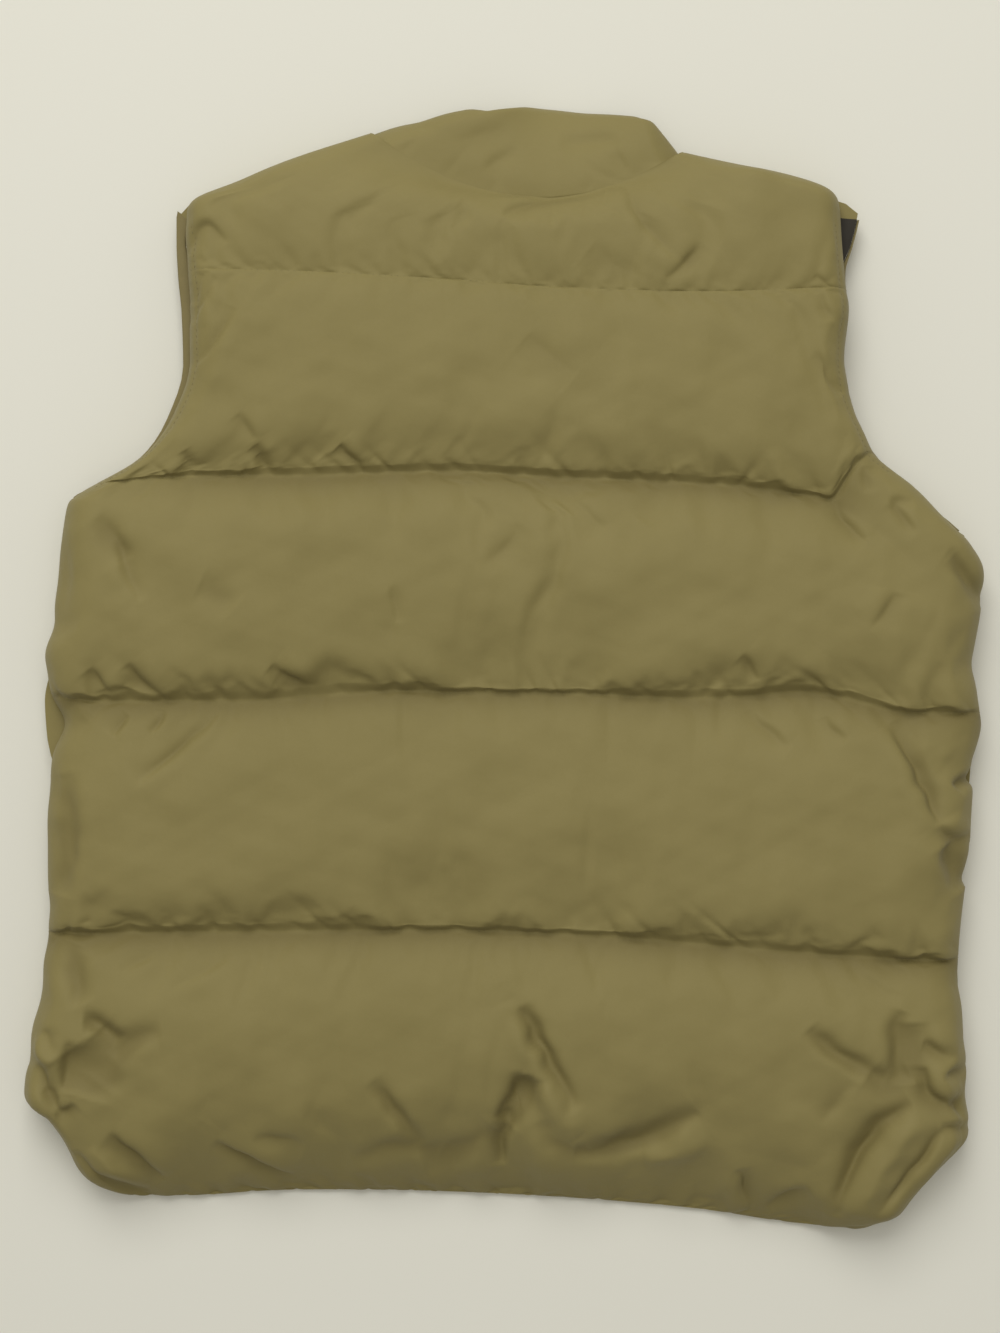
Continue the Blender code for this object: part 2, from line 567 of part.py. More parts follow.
def make_collar(material, collection):
    """The stand collar, one band folded flat at both sides of the neck."""
    steps = np.hypot(*(np.diff(column(COLLAR_BANDS, f"low_{axis}")) for axis in "xy"))
    knots = np.concatenate([[0], np.cumsum(np.maximum(steps, COLLAR_LEAST_STEP))])
    at = np.sort(np.concatenate([knots, (knots[1:] + knots[:-1]) / 2]))

    def along(field):
        return curve_through(knots, column(COLLAR_BANDS, field), at)

    low = np.stack([along("low_x"), along("low_y")], axis=-1)
    top = np.stack([along("top_x"), along("top_y")], axis=-1)
    foot, pad = along("foot")[:, None], along("pad")[:, None]
    turn = along("turn") / MM * np.pi
    on_back = turn < ON_BACK
    low[on_back, 1] = neck_edge(low[on_back, 0]) + COLLAR_GAP
    out = [np.interp(at, knots, column(COLLAR_BANDS, f"out_{axis}")) for axis in "xy"]
    out = np.stack(out / np.hypot(*out), axis=-1)
    w = COLLAR_UP
    plan = low[:, None] + (top - low)[:, None] * w[None, :, None]
    sideways, upright = np.sin(turn), np.cos(turn)
    edge = foot + (COLLAR_TOP_EDGE - foot) * w
    thick = edge + (pad - edge) * np.sin(np.pi * w) ** FULLNESS
    behind = np.exp(-(((low[:, 0] - COLLAR_BACK_X) / COLLAR_BACK_SPREAD) ** 2))
    behind *= np.clip(1 - turn / HALF_TURNED, 0, 1)
    sunk = COLLAR_SETTLE * behind[:, None] * smoothstep(w, *COLLAR_SINKING)
    height = INNER_PLANE + SEAM_GAP / 2 - sunk

    def layer(distance):
        shift = distance * sideways[:, None]
        flat = plan + out[:, None] * np.broadcast_to(shift, plan.shape[:2])[..., None]
        return np.dstack([flat, height + distance * upright[:, None]])[:, ::-1]

    outer = layer(COLLAR_FOLD + thick)
    inner = layer(np.full((1, len(w)), COLLAR_FOLD))
    return loft("collar", outer, inner, material, collection)


def make_fly_strip(material, collection):
    """The strip down the middle of the front that carries the press studs."""
    y = np.linspace(FLY_LOW, FLY_HIGH, FLY_ROWS + 1)
    half, flat = FLY_WIDTH / 2, FLY_WIDTH / 2 - FLY_ROUNDING
    x = CENTRE_X + np.array([-half, -flat, 0.0, flat, half])
    inside, edge = front_inside(y)
    plan = np.stack(np.meshgrid(x, y), axis=-1)
    top = np.broadcast_to((inside - edge - FLY_GAP)[:, None], plan.shape[:2])
    upper, lower = np.dstack([plan, top]), np.dstack([plan, top - FLY_THICK])
    return loft("fly_strip", upper, lower, material, collection)


def make_stud(number, y, material, collection):
    """A press stud's cap, a low dome under the strip."""
    top = INNER_PLANE - FLY_EDGE - FLY_GAP - FLY_THICK - SEAM_GAP
    bpy.ops.mesh.primitive_cylinder_add(
        vertices=STUD_SIDES, radius=STUD_RADIUS, depth=STUD_HEIGHT,
        location=(CENTRE_X, y, top - STUD_HEIGHT / 2),
    )
    stud = bpy.context.object
    stud.name = f"press_stud_{number}"
    stud.data.materials.append(material)
    for owner in stud.users_collection:
        owner.objects.unlink(stud)
    collection.objects.link(stud)
    rounded = stud.modifiers.new("rounded rim", "BEVEL")
    rounded.width = STUD_RIM
    rounded.limit_method = "ANGLE"
    return stud


def main():
    for leftover in list(bpy.data.objects):
        bpy.data.objects.remove(leftover)
    vest = bpy.data.collections.new("down vest")
    bpy.context.scene.collection.children.link(vest)
    shell = fabric("shell fabric", OLIVE, 0.55)
    lining = fabric("lining fabric", LINING, 0.6)
    brass = fabric("stud metal", BRASS, 0.35, 0.9)

    make_back("back_panel", PANEL_CHANNELS, 0, SEAM_GAP / 2, shell, vest)
    make_back("back_yoke", YOKE_CHANNELS, SEAM_GAP / 2, 0, shell, vest)
    for side in ("left", "right"):
        make_front(side, shell, vest)
        make_armhole_tape(side, shell, vest)
        make_armhole_lining(side, lining, vest)
    make_collar(shell, vest)
    make_fly_strip(shell, vest)
    for number, y in enumerate(np.linspace(STUD_LOW, STUD_HIGH, STUD_COUNT), start=1):
        make_stud(number, y, brass, vest)


main()
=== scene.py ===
# %% [markdown]
# # A quilted down vest, laid face down
#
# The vest is buttoned up and lies on its two fronts, so that its back is on top.
# Every panel is two layers of thin nylon with down between them, and lines of
# stitches divide it into wide channels. What makes it look real is how the cloth
# swells between the stitches and gathers along them. This lesson builds that with
# a surface worked out in numpy, a short cloth simulation, and creases laid one by one.

# %% Load the imported model
from collections import namedtuple
from math import radians

import bpy
import numpy as np
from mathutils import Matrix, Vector


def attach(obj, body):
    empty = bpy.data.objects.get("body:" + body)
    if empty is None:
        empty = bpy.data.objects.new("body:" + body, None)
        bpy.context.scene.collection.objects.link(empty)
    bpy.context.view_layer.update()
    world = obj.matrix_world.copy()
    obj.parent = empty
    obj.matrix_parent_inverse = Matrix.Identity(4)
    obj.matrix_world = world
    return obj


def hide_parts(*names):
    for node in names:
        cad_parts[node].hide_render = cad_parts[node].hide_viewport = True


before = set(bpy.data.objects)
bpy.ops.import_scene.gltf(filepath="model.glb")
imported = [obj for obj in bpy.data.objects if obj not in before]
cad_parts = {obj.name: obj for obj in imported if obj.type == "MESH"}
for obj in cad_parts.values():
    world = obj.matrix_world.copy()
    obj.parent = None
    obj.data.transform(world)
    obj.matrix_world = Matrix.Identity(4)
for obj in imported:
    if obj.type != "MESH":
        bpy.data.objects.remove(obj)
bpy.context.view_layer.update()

scene = bpy.context.scene
MM = 0.001
print("nodes:", ", ".join(sorted(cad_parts)))

# %% [markdown]
# ## Curves and soft steps
#
# A pattern cutter draws an outline through a few measured points. The same is done
# here: each table below holds a few named sections in millimetres, and a smooth
# curve runs through them. A cubic that never overshoots its points was chosen,
# because an ordinary spline would add waves that the vest doesn't have.


# %% Curves through a table
def smoothstep(x, low, high):
    """3t² - 2t³, where t goes from 0 at low to 1 at high."""
    t = np.clip((x - low) / (high - low), 0, 1)
    return t * t * (3 - 2 * t)


def bell(x, width):
    """exp(-(x / width)²): 1 in the middle, and lower evenly on both sides."""
    return np.exp(-((x / width) ** 2))


def curve_through(knots, values, at):
    """Hermite cubics, whose slope at a knot is the harmonic mean of the chords' slopes.

    Where the chords turn back the slope is 0, so the curve never overshoots.
    """
    step = np.diff(knots)
    slope = np.diff(values) / step
    same_way = slope[1:] * slope[:-1] > 0
    total = np.where(same_way, slope[1:] + slope[:-1], 1)
    inner = np.where(same_way, 2 * slope[1:] * slope[:-1] / total, 0)
    tangent = np.concatenate([slope[:1], inner, slope[-1:]])
    i = np.clip(np.searchsorted(knots, at, side="right") - 1, 0, len(step) - 1)
    h = step[i]
    t = (at - knots[i]) / h
    return (
        (2 * t**3 - 3 * t**2 + 1) * values[i]
        + (t**3 - 2 * t**2 + t) * h * tangent[i]
        + (3 * t**2 - 2 * t**3) * values[i + 1]
        + (t**3 - t**2) * h * tangent[i + 1]
    )


def rows_of(kind, rows):
    """The rows of a table, each with the names of its columns."""
    return [kind(*row) for row in rows]


def column(table, field):
    """One named column of a table, in metres."""
    return np.array([getattr(row, field) for row in table], float) * MM


def table_knots(table):
    """How far up the vest each section lies: the mean of its two ends' steps."""
    steps = [
        np.hypot(np.diff(column(table, f"{side}_x")), np.diff(column(table, f"{side}_y")))
        for side in ("left", "right")
    ]
    return np.concatenate([[0], np.cumsum(np.mean(steps, axis=0))])


def knots_of(table, names):
    """The places of some sections, found by their names."""
    knots = dict(zip((row.name for row in table), table_knots(table)))
    return [knots[name] for name in names]


# %% [markdown]
# ## The sections of the back
#
# The back is drawn as sections from its left edge to its right edge, going up from
# the hem to the neck. Rise is how far the middle of a section stands above the
# straight line between its ends, and roll is how far in from the edge the padding
# reaches its full height. The vest lies a little askew, so left and right differ.

# %% The back's pattern
Section = namedtuple("Section", "name left_x left_y right_x right_y rise roll")
BACK_SECTIONS = rows_of(Section, [
    ("hem", -228, -319, 213, -339, 11, 16),
    ("corner_low", -247, -311.5, 237.5, -331, 10, 16),
    ("corner_mid", -257, -301, 249, -315, 2.5, 16),
    ("corner_high", -264, -285.5, 266, -297, -4.5, 16),
    ("vent_low", -276, -267, 276, -287, -5, 16),
    ("vent", -289, -256.5, 281, -279, -5, 17),
    ("vent_top", -287, -248, 279.5, -262, -7, 18),
    ("tail_low", -285, -229, 277, -238, -10, 22),
    ("tail_high", -276, -190, 275, -202, -3, 26),
    ("seam_4", -273, -158, 273, -173, 10.5, 26),
    ("waist_low", -273.5, -121, 278, -118, 6, 28),
    ("waist_high", -271.5, -66, 282, -68, 6, 28),
    ("seam_3", -272.5, -17, 285, -26, 8.5, 26),
    ("chest_low", -274, 10, 282, 4, 10, 28),
    ("chest_high", -267, 53, 287.5, 53, 8, 28),
    ("underarm", -261, 100, 278, 74, 8, 20),
    ("underarm_mid", -257, 103.5, 263.5, 87.5, 6, 19),
    ("underarm_high", -252, 107, 250.5, 101.5, 4, 18),
    ("seam_2", -243, 112, 222, 125, 0, 16),
    ("arm_low", -215, 129, 216, 138, 4, 16),
    ("arm_mid", -198, 152, 210, 152, 8, 16),
    ("arm_high", -188, 183, 204, 183, 6, 16),
    ("arm_top", -188, 215, 207, 215, -2, 16),
    ("seam_1", -189, 236, 205.5, 226, -4, 16),
    ("yoke_low", -190, 257, 203, 254, -12, 18),
    ("shoulder_tip", -190, 276, 201, 281.5, -20, 18),
    ("shoulder_low", -160, 291.5, 176, 294.5, -25.5, 20),
    ("shoulder_high", -126, 306, 142, 302, -27, 16),
    ("neck", -80, 321.5, 108, 310, -34, 9),
])

# The channels between the lines of stitches: how thick the back is at the lower
# and the upper line and where it is fullest, and how far up the channel that is.
Channel = namedtuple("Channel", "lower upper low_seam high_seam pad crest rows")
PANEL_CHANNELS = rows_of(Channel, [
    ("hem", "seam_4", 4, 6, 37, 0.55, 40),
    ("seam_4", "seam_3", 6, 7, 31, 0.40, 34),
    ("seam_3", "seam_2", 7, 7, 32, 0.40, 34),
    ("seam_2", "seam_1", 7, 9, 30, 0.38, 32),
])
YOKE_CHANNELS = [Channel("seam_1", "neck", 9, 14, 27, 0.42, 26)]

# Where each line of stitches really runs, since the lie of the cloth pulls it about,
# and how deep it lies: 1 is a full valley and 0 none, as where the down is thin.
Stitch = namedtuple("Stitch", "x y deep")
SEAM_LINES = {
    "seam_1": rows_of(Stitch, [
        (-192, 237, 0.005), (-122, 235.2, 0.005), (-32, 230.4, 0.01),
        (34, 225.6, 0.015), (118, 223.2, 0.03), (205, 226.2, 0.03),
    ]),
    "seam_2": rows_of(Stitch, [
        (-245, 109, 0.0), (-224, 111.5, 0.02), (-204, 113.5, 0.1),
        (-172, 115, 0.25), (-122, 115.2, 0.3), (-32, 117.6, 0.35),
        (22, 114.6, 0.38), (118, 110.4, 0.35), (160, 106.5, 0.32),
        (182, 103.2, 0.31), (195, 101, 0.26), (200, 109, 0.2),
        (210, 123, 0.11), (222, 132, 0.03),
    ]),
    "seam_3": rows_of(Stitch, [
        (-273, -15.6, 0.26), (-236, -18.6, 0.31), (-152, -18, 0.28),
        (-62, -12.6, 0.29), (34, -13.8, 0.26), (118, -16.8, 0.29),
        (150, -15, 0.38), (178, -12.8, 0.4), (200, -16, 0.35),
        (216, -20, 0.3), (240, -25, 0.29), (285, -25.8, 0.29),
    ]),
    "seam_4": rows_of(Stitch, [
        (-273, -156.6, 0.42), (-152, -155.4, 0.36), (-32, -154.2, 0.36),
        (58, -157.8, 0.34), (148, -165.6, 0.35), (210, -170, 0.36),
        (273, -173.4, 0.43),
    ]),
}

# How far up from the hem the tail rolls over, which changes from place to place.
Roll = namedtuple("Roll", "x reach")
HEM_ROLLS = rows_of(Roll, [
    (-245, 16), (-205, 24), (-172, 34), (-140, 29), (-105, 36), (-75, 30),
    (-35, 45), (-16, 34), (4, 48), (24, 31), (48, 33), (84, 47),
    (110, 50), (138, 30), (165, 27), (200, 14), (240, 11),
])

# The side edges are not smooth either: each dent moves the edge in, or out if negative.
Dent = namedtuple("Dent", "side y reach inward")
SIDE_DENTS = rows_of(Dent, [
    ("left", -33, 13, 9), ("left", 26, 9, 3.2), ("left", 8, 7, -1.2),
    ("left", -142, 9, 1.2), ("left", -88, 16, -1.4), ("left", -176, 10, -1.6),
    ("left", 70, 12, -0.8), ("left", -232, 9, 1.5), ("left", -213, 7, -1.0),
    ("right", -57, 8, 2.6), ("right", -34, 9, -1.8), ("right", -112, 14, -1.2),
    ("right", 2, 7, 1.6), ("right", 30, 12, -1.0), ("right", -240, 7, -1.4),
    ("right", -256, 5, 2.6), ("right", -188, 10, 1.4),
])
HEM_DENTS = [Roll(-185, 34), Roll(170, 34)]
HEM_DENT = 2.0
print(len(BACK_SECTIONS), "sections,", len(PANEL_CHANNELS + YOKE_CHANNELS), "channels")

# %% [markdown]
# ## Padded cloth as a height over its plan
#
# Between two lines of stitches a channel swells like half a sausage, and its side
# edges roll over like a pillow's. Both are simple curves: a power of a sine up the
# channel, and a quarter of an ellipse in from the edge. Their product is the
# padding. The rows of points crowd towards the stitches, where the cloth turns
# steeply, and the columns follow equal angles round the rolled edge.

# %% The lie of the layers
INNER_PLANE = 16.0 * MM  # where the fronts end and the back begins
SEAM_GAP = 0.3 * MM
RIM = 2.6 * MM  # how thick a panel is at its very edge
FULLNESS = 0.5  # the power of the form; the smaller it is, the flatter the top
LOWER_FULLNESS, FULLER_FROM, FULLER_TO = 0.25, 0.3, 0.8
FILLED = 27 * MM  # how thick the back is where a line of stitches has no valley
TAIL_GROUND_Y, TAIL_PLANE_Y = -318 * MM, -190 * MM
FRONT_GROUND_Y, FRONT_PLANE_Y = -312 * MM, -178 * MM
ARM_OPENING, ARM_OPENING_REACH = 0.8 * MM, 22 * MM
DENT_REACH = 45 * MM
ARMHOLE = ("underarm", "arm_low", "yoke_low", "shoulder_tip")  # from its start to its end


def edge_roll(distance, radius):
    """0 at the edge, rising as a quarter of an ellipse to 1 at the radius."""
    t = np.clip(distance / radius, 0, 1)
    return np.sqrt(1 - (1 - t) ** 2)


def channel_form(share, crest, lower=FULLNESS):
    """sin(pi * share^k) ^ fullness, with k such that the middle falls on the crest.

    The fullness goes smoothly from its lower value to the common one up the channel.
    """
    skew = np.log(0.5) / np.log(crest)
    power = lower + (FULLNESS - lower) * smoothstep(share, FULLER_FROM, FULLER_TO)
    return np.sin(np.pi * np.clip(share, 0, 1) ** skew).clip(0) ** power


def hem_form(distance, reach):
    """t / (1 + t^8)^(1/8): a straight slope up from the hem that levels off at its reach."""
    t = distance / reach
    return t / (1 + t**8) ** (1 / 8)


def stitch_course(name, x, y):
    """How far a seam lies above a place on its straight course, and how deep it is there."""
    line = SEAM_LINES.get(name)
    if line is None:
        return 0 * x, 1 + 0 * x
    knots = column(line, "x")
    deep = curve_through(knots, column(line, "deep") / MM, x.clip(knots[0], knots[-1]))
    return curve_through(knots, column(line, "y"), x) - y, deep


def back_inside(y):
    """The height of the back's inner face, which slopes down to the ground in the tail."""
    return (INNER_PLANE + SEAM_GAP) * smoothstep(y, TAIL_GROUND_Y, TAIL_PLANE_Y)


def crowded_rows(at_seam, rows, crowding=0.7):
    """Rows between the seams: t - c sin(2 pi t) / 2 pi brings them together at both ends.

    Gives each row's place, its share of its channel, its channel, and the seams' rows.
    """
    places, numbers, seam_rows = [at_seam[:1]], [[0]], [0]
    for number, (low, high, count) in enumerate(zip(at_seam, at_seam[1:], rows)):
        t = np.linspace(0, 1, count + 1)[1:]
        places.append(low + (high - low) * (t - crowding * np.sin(2 * np.pi * t) / (2 * np.pi)))
        numbers.append([number] * count)
        seam_rows.append(seam_rows[-1] + count)
    places, numbers = np.concatenate(places), np.concatenate(numbers)
    low, high = np.array(at_seam)[numbers], np.array(at_seam)[numbers + 1]
    return places, (places - low) / (high - low), numbers, seam_rows


def rolled_columns(width, roll, count, turns=9):
    """Distances in from one edge: equal angles round both rolls, even steps between them."""
    angle = np.linspace(0, np.pi / 2, turns + 1)
    near = roll[:, None] * (1 - np.cos(angle))
    between = np.linspace(0, 1, count + 1)[None, 1:-1]
    middle = near[:, -1:] + (width[:, None] - 2 * near[:, -1:]) * between
    return np.concatenate([near, middle, width[:, None] - near[:, ::-1]], axis=1)


# %% The back's surface
# The last field, one value for each point, is the mask of painted shade that darkens the colour.
Cloth = namedtuple(
    "Cloth", "points inside edge share crest arm seam_rows deep dust", defaults=[None]
)


def back_cloth(channels, columns):
    """The outer surface of the back between two seams, on a grid of rows x columns.

    height = inside + rim + (padding - rim) * roll, where padding goes from the
    seam's thickness to the channel's by the channel's form.
    """
    knots = table_knots(BACK_SECTIONS)
    seams = [channels[0].lower] + [channel.upper for channel in channels]
    rows = [channel.rows for channel in channels]
    at, share, number, seam_rows = crowded_rows(knots_of(BACK_SECTIONS, seams), rows)
    left_x, left_y, right_x, right_y, rise, roll = (
        curve_through(knots, column(BACK_SECTIONS, field), at)[:, None]
        for field in Section._fields[1:]
    )
    width = np.hypot(right_x - left_x, right_y - left_y)[:, 0]
    distance = rolled_columns(width, roll[:, 0], columns)
    u = distance / width[:, None]
    x = left_x + (right_x - left_x) * u
    y = left_y + (right_y - left_y) * u + rise * 4 * u * (1 - u)
    edge = np.minimum(distance, width[:, None] - distance)
    rolled = edge_roll(edge, roll)
    for dent in SIDE_DENTS:
        way = 1 if dent.side == "left" else -1
        from_side = distance if dent.side == "left" else width[:, None] - distance
        near = bell(y - dent.y * MM, dent.reach * MM)
        x = x + way * dent.inward * MM * near * (1 - smoothstep(from_side, 0, DENT_REACH))
    if channels[0].lower == "hem":
        low_down = 1 - smoothstep(y - y[0], 0, DENT_REACH)
        for dent in HEM_DENTS:
            y = y - HEM_DENT * MM * bell(x - dent.x * MM, dent.reach * MM) * low_down
    courses = [stitch_course(name, x[row], y[row]) for name, row in zip(seams, seam_rows)]
    shift, deep = (np.array(values) for values in zip(*courses))
    part = share[:, None]

    def between(values):
        return values[number] + (values[number + 1] - values[number]) * part

    y = y + between(shift) * np.sqrt(rolled)
    low, full, last, high = knots_of(BACK_SECTIONS, ARMHOLE)
    arm = (smoothstep(at, low, full) * (1 - smoothstep(at, last, high)))[:, None]
    inside = back_inside(y) + ARM_OPENING * arm * bell(edge, ARM_OPENING_REACH)
    pad = column(channels, "pad")[number][:, None]
    crest = np.array([channel.crest for channel in channels])[number]
    form = np.tile(channel_form(share, crest, LOWER_FULLNESS)[:, None], (1, x.shape[1]))
    if channels[-1].upper == "neck":
        to_collar = share > crest
        form[to_collar] = 1 - smoothstep(share, crest, 1)[to_collar, None]
    if channels[0].lower == "hem":
        tail = (number == 0) & (share < crest)
        roll_x = column(HEM_ROLLS, "x")
        along_hem = x[tail].clip(roll_x[0], roll_x[-1])
        reach = curve_through(roll_x, column(HEM_ROLLS, "reach"), along_hem)
        form[tail] = hem_form(y[tail] - y[0], reach)
    thin = np.array([channels[0].low_seam] + [channel.high_seam for channel in channels]) * MM
    at_line = between(thin[:, None] + (FILLED - thin[:, None]) * (1 - deep))
    padding = at_line + (pad - at_line) * form
    outside = inside + np.maximum(RIM + (padding - RIM) * rolled, RIM)
    points = np.dstack([x, y, outside])
    return Cloth(points, inside, edge, share, crest, arm, seam_rows, deep)


panel = back_cloth(PANEL_CHANNELS, 116)
yoke = back_cloth(YOKE_CHANNELS, 104)
print("back panel grid", panel.points.shape[:2], "and yoke grid", yoke.points.shape[:2])

# %% [markdown]
# ## Let the cloth swell
#
# The stitches gather the nylon, so between them it is a little longer than the
# room it has. A cloth simulation finds the shape that this gives: the seams and
# edges are pinned, the cloth gets extra length that grows towards the seams, and
# pressure stands for the down. It buckles along the stitches as real cloth does,
# which would be hard to draw by hand. Only a limited part of the movement is kept,
# so that the vest's outline and size stay those of the pattern.


# %% A pressed and gathered sheet
GATHER_FROM, GATHER_TO = 0.02, 0.17  # the shares of a channel where its gathers fade
Swelling = namedtuple("Swelling", "extra pressure calm")
PANEL_SWELLING, YOKE_SWELLING = Swelling(0.045, 2.2, 0.99), Swelling(0.02, 2.0, 0.35)


def put(name, data):
    """A new object for some data, in the scene."""
    thing = bpy.data.objects.new(name, data)
    scene.collection.objects.link(thing)
    return thing


def grid_faces(rows, columns, start=0):
    """The quads of a grid: each joins two neighbours in a row with the two above them."""
    corner = start + np.arange(rows - 1)[:, None] * columns + np.arange(columns - 1)
    corners = [corner, corner + 1, corner + columns + 1, corner + columns]
    return np.stack(corners, axis=-1).reshape(-1, 4)


def swell(clothes, frames=20, most=4.2 * MM, held_edge=14 * MM):
    """Runs the cloth simulation on several surfaces at once and gives the new points.

    Above its calm share a channel keeps less and less of the movement, as at the neck.
    """
    sheets = []
    for cloth, swelling in clothes:
        rows, columns = cloth.points.shape[:2]
        mesh = bpy.data.meshes.new("swelling")
        places, faces = cloth.points.reshape(-1, 3), grid_faces(rows, columns)
        mesh.from_pydata(places.tolist(), [], faces.tolist())
        sheet = put("swelling", mesh)
        row, place = np.divmod(np.arange(rows * columns), columns)
        held = np.isin(row, cloth.seam_rows) | (place == 0) | (place == columns - 1)
        sheet.vertex_groups.new(name="stitched").add(np.flatnonzero(held).tolist(), 1.0, "REPLACE")
        full = sheet.vertex_groups.new(name="middle")
        middle = smoothstep(np.repeat(cloth.share, columns), GATHER_FROM, GATHER_TO)
        for level in range(1, 11):
            here = np.flatnonzero(np.round(middle * 10) == level)
            if len(here):
                full.add(here.tolist(), level / 10, "REPLACE")
        body = sheet.modifiers.new("cloth", "CLOTH")
        body.point_cache.frame_end = frames
        settings = body.settings
        settings.quality = 6
        settings.mass = 0.2
        settings.tension_stiffness = settings.compression_stiffness = 12
        settings.shear_stiffness = 4
        settings.bending_stiffness = 0.35
        settings.vertex_group_mass = "stitched"
        settings.vertex_group_shrink = "middle"
        settings.shrink_min = -swelling.extra
        settings.shrink_max = -0.012
        settings.use_pressure = True
        settings.uniform_pressure_force = swelling.pressure
        settings.effector_weights.gravity = 0
        body.collision_settings.use_collision = False
        sheets.append((sheet, cloth, 1 - smoothstep(cloth.share, swelling.calm, 1)))
    for number in range(1, frames + 1):
        scene.frame_set(number)
    graph = bpy.context.evaluated_depsgraph_get()
    results = []
    for sheet, cloth, free in sheets:
        swollen = sheet.evaluated_get(graph).data
        points = np.empty(len(swollen.vertices) * 3, np.float32)
        swollen.vertices.foreach_get("co", points)
        moved = points.reshape(cloth.points.shape).astype(float) - cloth.points
        far = np.linalg.norm(moved, axis=-1, keepdims=True).clip(1e-9)
        kept = most * np.tanh(far / most) / far * smoothstep(cloth.edge, 0, held_edge)[..., None]
        kept *= free[:, None, None]
        results.append(cloth._replace(points=cloth.points + moved * kept))
        print("swelling moved points by up to", round(float(far.max()) / MM, 1), "mm")
        bpy.data.objects.remove(sheet)
    scene.frame_set(1)
    return results


panel, yoke = swell([(panel, PANEL_SWELLING), (yoke, YOKE_SWELLING)])

# %% [markdown]
# ## Finer cloth
#
# A simulation on a fine grid is slow, so it ran on a coarse one. Here each grid is
# refined by the rule that makes a uniform cubic spline: a new point goes half-way
# between two old ones, and an old point moves a little towards its neighbours. The
# rows of stitches are left where they are, because a seam is a real crease.


# %% Refine a grid
def refine(values, axis, sharp=()):
    """Doubles a grid along one axis: (a + b) / 2 between points, (a + 6b + c) / 8 on them."""
    v = np.moveaxis(np.asarray(values, float), axis, 0)
    out = np.empty((2 * len(v) - 1, *v.shape[1:]))
    out[1::2] = (v[1:] + v[:-1]) / 2
    out[0::2] = v
    keep = np.ones(len(v), bool)
    keep[1:-1] = False
    keep[list(sharp)] = True
    smooth = (v[:-2] + 6 * v[1:-1] + v[2:]) / 8
    out[2:-1:2][~keep[1:-1]] = smooth[~keep[1:-1]]
    return np.moveaxis(out, 0, axis)


def refine_cloth(cloth):
    """Refines every grid of a cloth in both directions."""
    both = {
        name: refine(refine(getattr(cloth, name), 0, cloth.seam_rows), 1)
        for name in ("points", "inside", "edge")
    }
    row = np.arange(2 * len(cloth.share) - 1)
    at = (row + 1) // 2
    below = np.concatenate([[0.0], cloth.share[:-1] % 1.0])
    share = np.where(row % 2, (cloth.share[at] + below[at]) / 2, cloth.share[at])
    return cloth._replace(
        **both, arm=refine(cloth.arm, 0, cloth.seam_rows), deep=refine(cloth.deep, 1),
        share=share, crest=cloth.crest[at], seam_rows=[2 * seam for seam in cloth.seam_rows],
    )


panel, yoke = refine_cloth(refine_cloth(panel)), refine_cloth(refine_cloth(yoke))
print("refined to", panel.points.shape[:2], "and", yoke.points.shape[:2])

# %% [markdown]
# ## Creases
#
# Cloth that lies in a heap keeps some creases of its own, and no simulation would
# put them in the right places. Each one here is a soft trough along a curve through
# three points, with a low ridge on one side where the cloth is pushed up. Depth is
# measured along the surface's normal, so that a crease on a steep side shows too.

# %% Slow waves
def slow_waves(x, y, wavelength, seed, count=14):
    """The mean of plane waves in all directions, with lengths around the given one."""
    rng = np.random.default_rng(seed)
    total = np.zeros_like(x)
    for _ in range(count):
        angle, phase = rng.uniform(0, 2 * np.pi, 2)
        k = 2 * np.pi / (wavelength * rng.uniform(0.7, 1.5))
        total += np.sin(k * (x * np.cos(angle) + y * np.sin(angle)) + phase)
    return total / np.sqrt(count)


